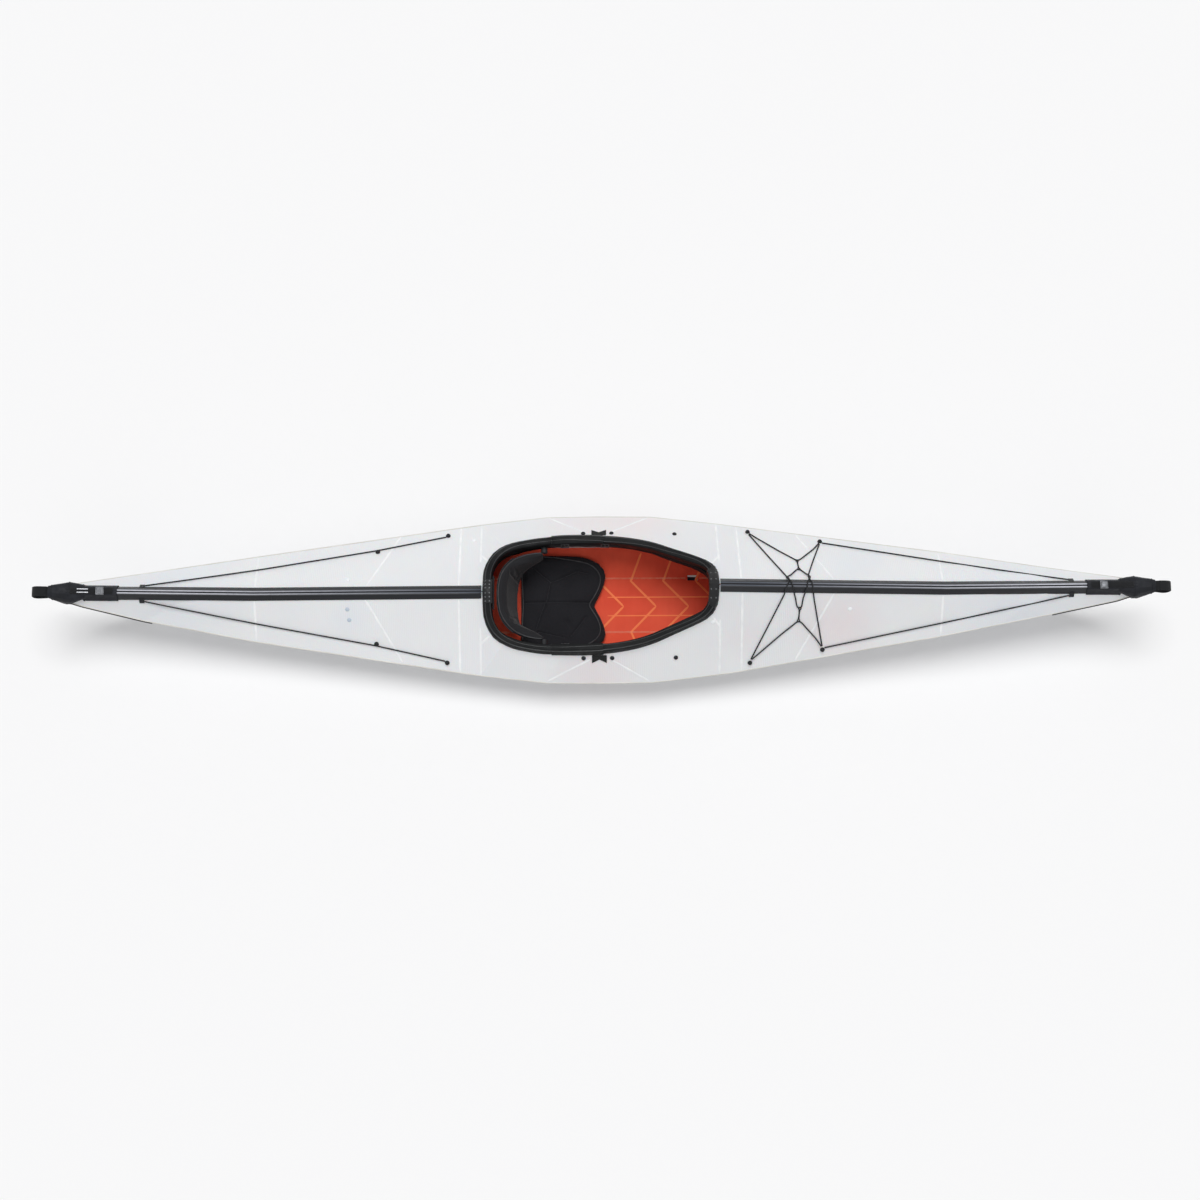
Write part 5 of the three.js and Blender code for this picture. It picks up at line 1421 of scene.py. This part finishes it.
panel_white = panel_skin()
bind_black = web_skin("binding tape", (0.022, 0.023, 0.024), "Y", 0.0015)
for name, body, hole_height in bulkheads:
    panel = clean_copy(name, name.replace("bulkhead", "prop_panel"), 20.0)
    fit_out(panel, body, "panel", panel_white, name)
    surface = surface_of(panel.data)
    low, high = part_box(name)
    middle = (low[0] + high[0]) / 2
    half = (high[0] - low[0]) / 2
    places, faces = [], []
    for face in (1.0, -1.0):
        ring = circle(Vector((middle + face * half, 0.0, hole_height)), Vector((0.0, 1.0, 0.0)),
                      Vector((0.0, 0.0, 1.0)), hand_hole_radius, 40)
        round_rod(places, faces, ring + ring[:1], hole_ring_radius)
    for face in (1.0, -1.0):
        x, z = middle + face * tape_search, high[2] - tape_below_top
        starts = [Vector((x, (k / tape_steps - 0.5) * tape_length, z))
                  for k in range(tape_steps + 1)]
        path = [surface.ray_cast(start, Vector((-face, 0.0, 0.0)))[:2] for start in starts]
        path = [spot for spot in path if spot[0]]
        ribbon(places, faces, path, tape_width, tape_rise, taper=blunt)
    fit_out(new_piece(f"{name}_trim", places, faces, 50.0), body, "panel", bind_black)
finished_copy("footrest_strip", "foot_strip", "hull", "web", patch_grey, strip_edge, 30.0)
fit_out(clean_copy("footrest", "foot_panel", 25.0), "foot", "panel", panel_white, "footrest")


# Seat cushion: a foam pad in black fabric with two front lobes, held to the floor by
# hook-and-loop tape. Sewn channels divide its top and a piping binds its edge. The fabric is
# blown out over the foam by a short cloth simulation.
above_seat = 0.3
pad_grain = 0.0046
seat_pressure, seat_swell, seat_clear = 3.2, 0.006, 0.0011
cloth_frames = 20
seat_seams = (
    ((-0.262, 0.0080), (-0.034, 0.0070)),
    ((-0.2349, 0.1281), (-0.1721, 0.0779)), ((-0.1721, 0.0779), (-0.1857, 0.0080)),
    ((-0.1721, 0.0779), (-0.1549, 0.0813), (-0.0828, 0.1134), (-0.0450, 0.1060)),
    ((-0.1900, 0.0075), (-0.2195, -0.0798)), ((-0.2134, -0.0939), (-0.1233, -0.1152)),
    ((-0.1028, -0.1085), (-0.0515, -0.0419)),
)
seam_depth, seam_width = 0.0042, 0.0046
top_from = 0.020
cloth_relief = 0.0016
seat_middle = -0.13
# The bound edge lies this far in from the rim at the sides, and this much more in front
edge_inset, front_inset, front_from, front_blend = 0.0075, 0.0125, -0.16, 0.08
piping_radius, piping_lift = 0.0021, 0.0006
seat_seam_step, seat_seam_pitch, seat_thread = 0.004, 0.0048, 0.0008


def fabric_skin(name, colour):
    skin, tree, shader = new_skin(name, colour, 0.82, 0.16, Sheen_Weight=0.10, Sheen_Roughness=0.45)
    coords = object_coords(tree)
    base = tint(tree, mottle(tree, coords, 18.0, detail=4.0),
                tuple(c * 0.75 for c in colour), tuple(c * 1.35 for c in colour))
    drawn = put(tree, "ShaderNodeMapping", {"Vector": coords, "Scale": (1.0, 0.6, 1.0)})
    knit = cells(tree, drawn.outputs[0], 1500.0)
    base = tint(tree, knit, base, tuple(c * 2.0 for c in colour))
    height = maths(tree, "MULTIPLY_ADD", knit, 0.10, clouds(tree, coords, 26.0, 3.0))
    dress(tree, shader, base, height=height, relief=cloth_relief)
    return skin


def fill_out(piece, pressure, furthest):
    """Blows a closed pad out like stuffed fabric and keeps its rest within a set reach."""
    coarsen(piece, pad_grain)
    keep_shape(piece)
    before = [v.co.copy() for v in piece.data.vertices]
    cloth = piece.modifiers.new("cloth", "CLOTH")
    cloth.settings.quality = 4
    cloth.settings.mass = 0.2
    cloth.settings.tension_stiffness = 18.0
    cloth.settings.compression_stiffness = 18.0
    cloth.settings.bending_stiffness = 0.6
    cloth.settings.use_pressure = True
    cloth.settings.uniform_pressure_force = pressure
    cloth.settings.effector_weights.gravity = 0.0
    cloth.collision_settings.use_collision = False
    cloth.point_cache.frame_start = 1
    cloth.point_cache.frame_end = cloth_frames
    for step in range(cloth_frames):
        scene.frame_set(step + 1)
    keep_shape(piece)
    scene.frame_set(1)
    moved = []
    for place, corner in zip(before, piece.data.vertices):
        shift = corner.co - place
        if shift.length > furthest:
            shift *= furthest / shift.length
        moved.append(place + shift)
    move_corners(piece, moved)
    finer = piece.modifiers.new("finer", "SUBSURF")
    finer.levels = finer.render_levels = 1
    keep_shape(piece)
    piece.data.shade_smooth()
    return piece


def off_line(place, line):
    """How far a place is, in plan, from a bent line."""
    best = math.inf
    for (ax, ay), (bx, by) in zip(line, line[1:]):
        dx, dy = bx - ax, by - ay
        t = ((place.x - ax) * dx + (place.y - ay) * dy) / (dx * dx + dy * dy)
        t = min(1.0, max(0.0, t))
        best = min(best, math.hypot(place.x - ax - dx * t, place.y - ay - dy * t))
    return best


def sewn_channels(piece, lines, low_z):
    """Where each corner of a pad goes as the seams draw its top down into soft channels."""
    for place, normal in [(v.co.copy(), v.normal.copy()) for v in piece.data.vertices]:
        if place.z > low_z and normal.z > 0.1:
            apart = min(off_line(place, line) for line in lines)
            place.z -= seam_depth * math.exp(-(apart / seam_width) ** 2)
        yield place


cushion = fill_out(clean_copy("seat_pad", "seat_cushion"), seat_pressure, seat_swell)
seat_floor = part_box("seat_pad")[0][2]
move_corners(cushion, [(v.co.x, v.co.y, max(v.co.z, seat_floor + seat_clear))
                       for v in cushion.data.vertices])
move_corners(cushion, sewn_channels(cushion, seat_seams, seat_floor + top_from))
fit_out(cushion, "seat", "foam", fabric_skin("seat fabric", (0.0082, 0.0082, 0.0100)), "seat_pad")
cushion_surface = surface_of(cushion.data)


def bound_edge():
    """The piping round the cushion: along its rim at the sides, and well in from it in front."""
    turns = 110
    reach = [0.0] * turns
    for corner in cushion.data.vertices:
        x, y = corner.co.x - seat_middle, corner.co.y
        k = int((math.atan2(y, x) / math.tau % 1.0) * turns) % turns
        reach[k] = max(reach[k], math.hypot(x, y))
    path = []
    for k in range(turns + 1):
        turn = math.tau * (k % turns + 0.5) / turns
        edge = reach[k % turns]
        forward = (seat_middle + math.cos(turn) * edge - front_from) / front_blend
        edge -= edge_inset + front_inset * min(1.0, max(0.0, forward))
        path.append(drop(cushion_surface, seat_middle + math.cos(turn) * edge,
                         math.sin(turn) * edge, above_seat))
    return smooth_path([spot for spot in path if spot[0]], 4)


places, faces = [], []
round_rod(places, faces, lifted(bound_edge(), piping_lift), piping_radius)
piping_skin = mottled_skin("piping", (0.030, 0.031, 0.034), 0.50, 0.35, (60.0, 3.0),
                           ((0.020, 0.021, 0.023), (0.042, 0.043, 0.047)))
fit_out(new_piece("seat_piping", places, faces, 60.0), "seat", "foam", piping_skin)
thread_grey = new_skin("seat thread", (0.045, 0.045, 0.050), 0.6, 0.3)[0]
for number, line in enumerate(seat_seams):
    path = laid_path(cushion_surface, line, seat_seam_step, above_seat)
    sew(f"seat_stitches_{number + 1}", path, seat_seam_pitch, "seat", "foam", thread_grey,
        seat_thread)


# Backrest: a curved foam band in the same fabric, bound along both edges, with a stiff panel
# behind it and a webbing band round its back. It turns on two round buttons inside the rim.
back_pressure, back_swell = 3.0, 0.0045
# The arms are drawn in from arm_back to arm_front, towards a line at their height and side
arm_back, arm_front, arm_height, arm_side = -0.262, -0.192, 0.186, 0.1450
arm_narrowing, arm_lowering, arm_off_middle = 0.58, 0.34, 0.06
back_middle, back_open_turn, back_reach_share = -0.20, 1.40, 0.55
back_piping_radius = 0.0024
shell_edge, button_edge = 0.0008, 0.0010


def drawn_in(band):
    """Where each corner of the band goes as its two arms taper towards the buttons."""
    for corner in band.data.vertices:
        x, y, z = corner.co
        share = min(1.0, max(0.0, (x - arm_back) / (arm_front - arm_back)))
        if share > 0.0 and abs(y) > arm_off_middle:
            side = math.copysign(arm_side, y)
            y = side - (side - y) * (1.0 - arm_narrowing * share * share)
            z = arm_height + (z - arm_height) * (1.0 - arm_lowering * share * share)
        yield x, y, z


band = fill_out(clean_copy("backrest_pad", "back_band"), back_pressure, back_swell)
move_corners(band, drawn_in(band))
fit_out(band, "back", "foam", fabric_skin("back fabric", (0.0105, 0.0106, 0.0120)), "backrest_pad")


def band_edge(rise):
    """The outer edge of the band, along its top (rise 1) or its bottom (rise -1)."""
    turns = 64
    best = [None] * turns
    for corner in band.data.vertices:
        x, y = corner.co.x - back_middle, corner.co.y
        turn = math.atan2(y, x) % math.tau
        k = int((turn - back_open_turn) / (math.tau - 2 * back_open_turn) * turns)
        score = corner.co.z * rise + math.hypot(x, y) * back_reach_share
        if 0 <= k < turns and (best[k] is None or score > best[k][0]):
            best[k] = (score, corner.co.copy())
    line = [spot[1] for spot in best if spot]
    for _ in range(4):
        eased = [(a + b * 2 + c) / 4 for a, b, c in zip(line, line[1:], line[2:])]
        line = line[:1] + eased + line[-1:]
    return line


places, faces = [], []
for rise in (1.0, -1.0):
    round_rod(places, faces, band_edge(rise), back_piping_radius)
fit_out(new_piece("back_piping", places, faces, 60.0), "back", "foam", piping_skin)
shell_plastic = grained_plastic("back shell", (0.016, 0.017, 0.019), 0.5)
finished_copy("backrest_panel", "back_shell", "back", "plastic", shell_plastic, shell_edge)
finished_copy("backrest_strap", "rear_band", "hull", "web", web_black, shell_edge)
for side, _ in sides_of:
    finished_copy(f"backrest_button_{side}", f"back_button_{side}", "hull", "plastic",
                  shell_plastic, button_edge, 34.0)


# Wall hem and skirt: the soft wall inside the coaming ends in a rolled hem, and a thin skirt of
# the same rubber hangs below it all the way round.
hem_reach, hem_steps = (0.42, 0.10), 180
hem_search_height, hem_lower_by = 0.02, 0.0004
hem_radius, hem_drop, hem_inset = 0.0036, 0.0010, 0.0008
skirt_depth, skirt_thickness = 0.026, 0.0010


def wall_hem():
    """Places along the lower edge of the coaming's inner wall, with the way into the cockpit."""
    path = []
    for k in range(hem_steps + 1):
        turn = math.tau * k / hem_steps
        out = Vector((math.cos(turn), math.sin(turn)))
        best = None
        reach = hem_reach[0]
        while reach > hem_reach[1]:
            spot = cockpit_middle + out * reach
            place = rim_surface.ray_cast(Vector((*spot, hem_search_height)), -down)[0]
            if place and (best is None or place.z < best.z - hem_lower_by):
                best = place
            reach -= rim_search_step
        if best:
            path.append((best - Vector((*out, 0.0)) * hem_inset, down))
    path = [place for place, _ in smooth_path(path, 2)]
    return [(place, (cockpit_middle.to_3d() - Vector((place.x, place.y, 0.0))).normalized())
            for place in path]


hem = wall_hem()
places, faces = [], []
round_rod(places, faces, [place + down * hem_drop for place, _ in hem], hem_radius)
fit_out(new_piece("wall_hem", places, faces, 60.0), "hull", "rubber", rim_black)
places, faces = [], []
skirt = [(place + down * (skirt_depth / 2), inward) for place, inward in hem]
ribbon(places, faces, skirt, skirt_depth, skirt_thickness, taper=square_end)
fit_out(new_piece("wall_skirt", places, faces, 60.0), "hull", "rubber", rim_black)


# Side straps: two webbing straps run forward from the backrest's buttons along the inside of the
# coaming wall, each with two ladder locks: a frame of two sides, two ends and a middle bar.
strap_start, strap_run, strap_width, strap_thickness = -0.172, 0.236, 0.019, 0.0016
strap_heights = (0.205, 0.200, 0.195, 0.190)
strap_lift, strap_drop, strap_lean = 0.0012, 0.004, 0.25
strap_steps, wall_nearest = 23, 0.12
lock_shares = (0.24, 0.80)
# The bars of a ladder lock, each from its low corner to its high corner
lock_bars = (
    ((-0.014, -0.0125, 0.0), (0.014, -0.0095, 0.0036)),
    ((-0.014, 0.0095, 0.0), (0.014, 0.0125, 0.0036)),
    ((-0.014, -0.0110, 0.0004), (-0.0108, 0.0110, 0.0040)),
    ((-0.0020, -0.0110, 0.0008), (0.0012, 0.0110, 0.0044)),
    ((0.0106, -0.0110, 0.0004), (0.0140, 0.0110, 0.0036)),
)


def side_line(sign):
    """Places and normals along the inside of the wall where a strap lies."""
    path = []
    outward = Vector((0.0, sign, 0.0))
    facing = Vector((0.0, -sign, strap_lean)).normalized()
    for k in range(strap_steps + 1):
        x = strap_start + strap_run * k / strap_steps
        hits = [rim_surface.ray_cast(Vector((x, 0.0, z)), outward)[0] for z in strap_heights]
        hits = [place for place in hits if place and abs(place.y) > wall_nearest]
        if hits:
            path.append((hits[0] - outward * strap_lift + down * strap_drop, facing))
    return path


lock_grey = grained_plastic("ladder lock", (0.085, 0.087, 0.092), 0.34)
for side, sign in sides_of:
    path = side_line(sign)
    places, faces = [], []
    ribbon(places, faces, path, strap_width, strap_thickness, taper=blunt)
    fit_out(new_piece(f"side_strap_{side}", places, faces, 50.0), "hull", "web", web_black)
    places, faces = [], []
    for share in lock_shares:
        place, normal = path[int(share * (len(path) - 1))]
        ahead = Vector(ahead_of_boat)
        turn = Matrix((ahead, normal.cross(ahead).normalized(), normal)).transposed().to_4x4()
        turn.translation = place
        for low, high in lock_bars:
            bar(places, faces, low, high, turn)
    fit_out(new_piece(f"side_locks_{side}", places, faces, 40.0), "hull", "plastic", lock_grey)


low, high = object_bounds()
list(low)
list(high)
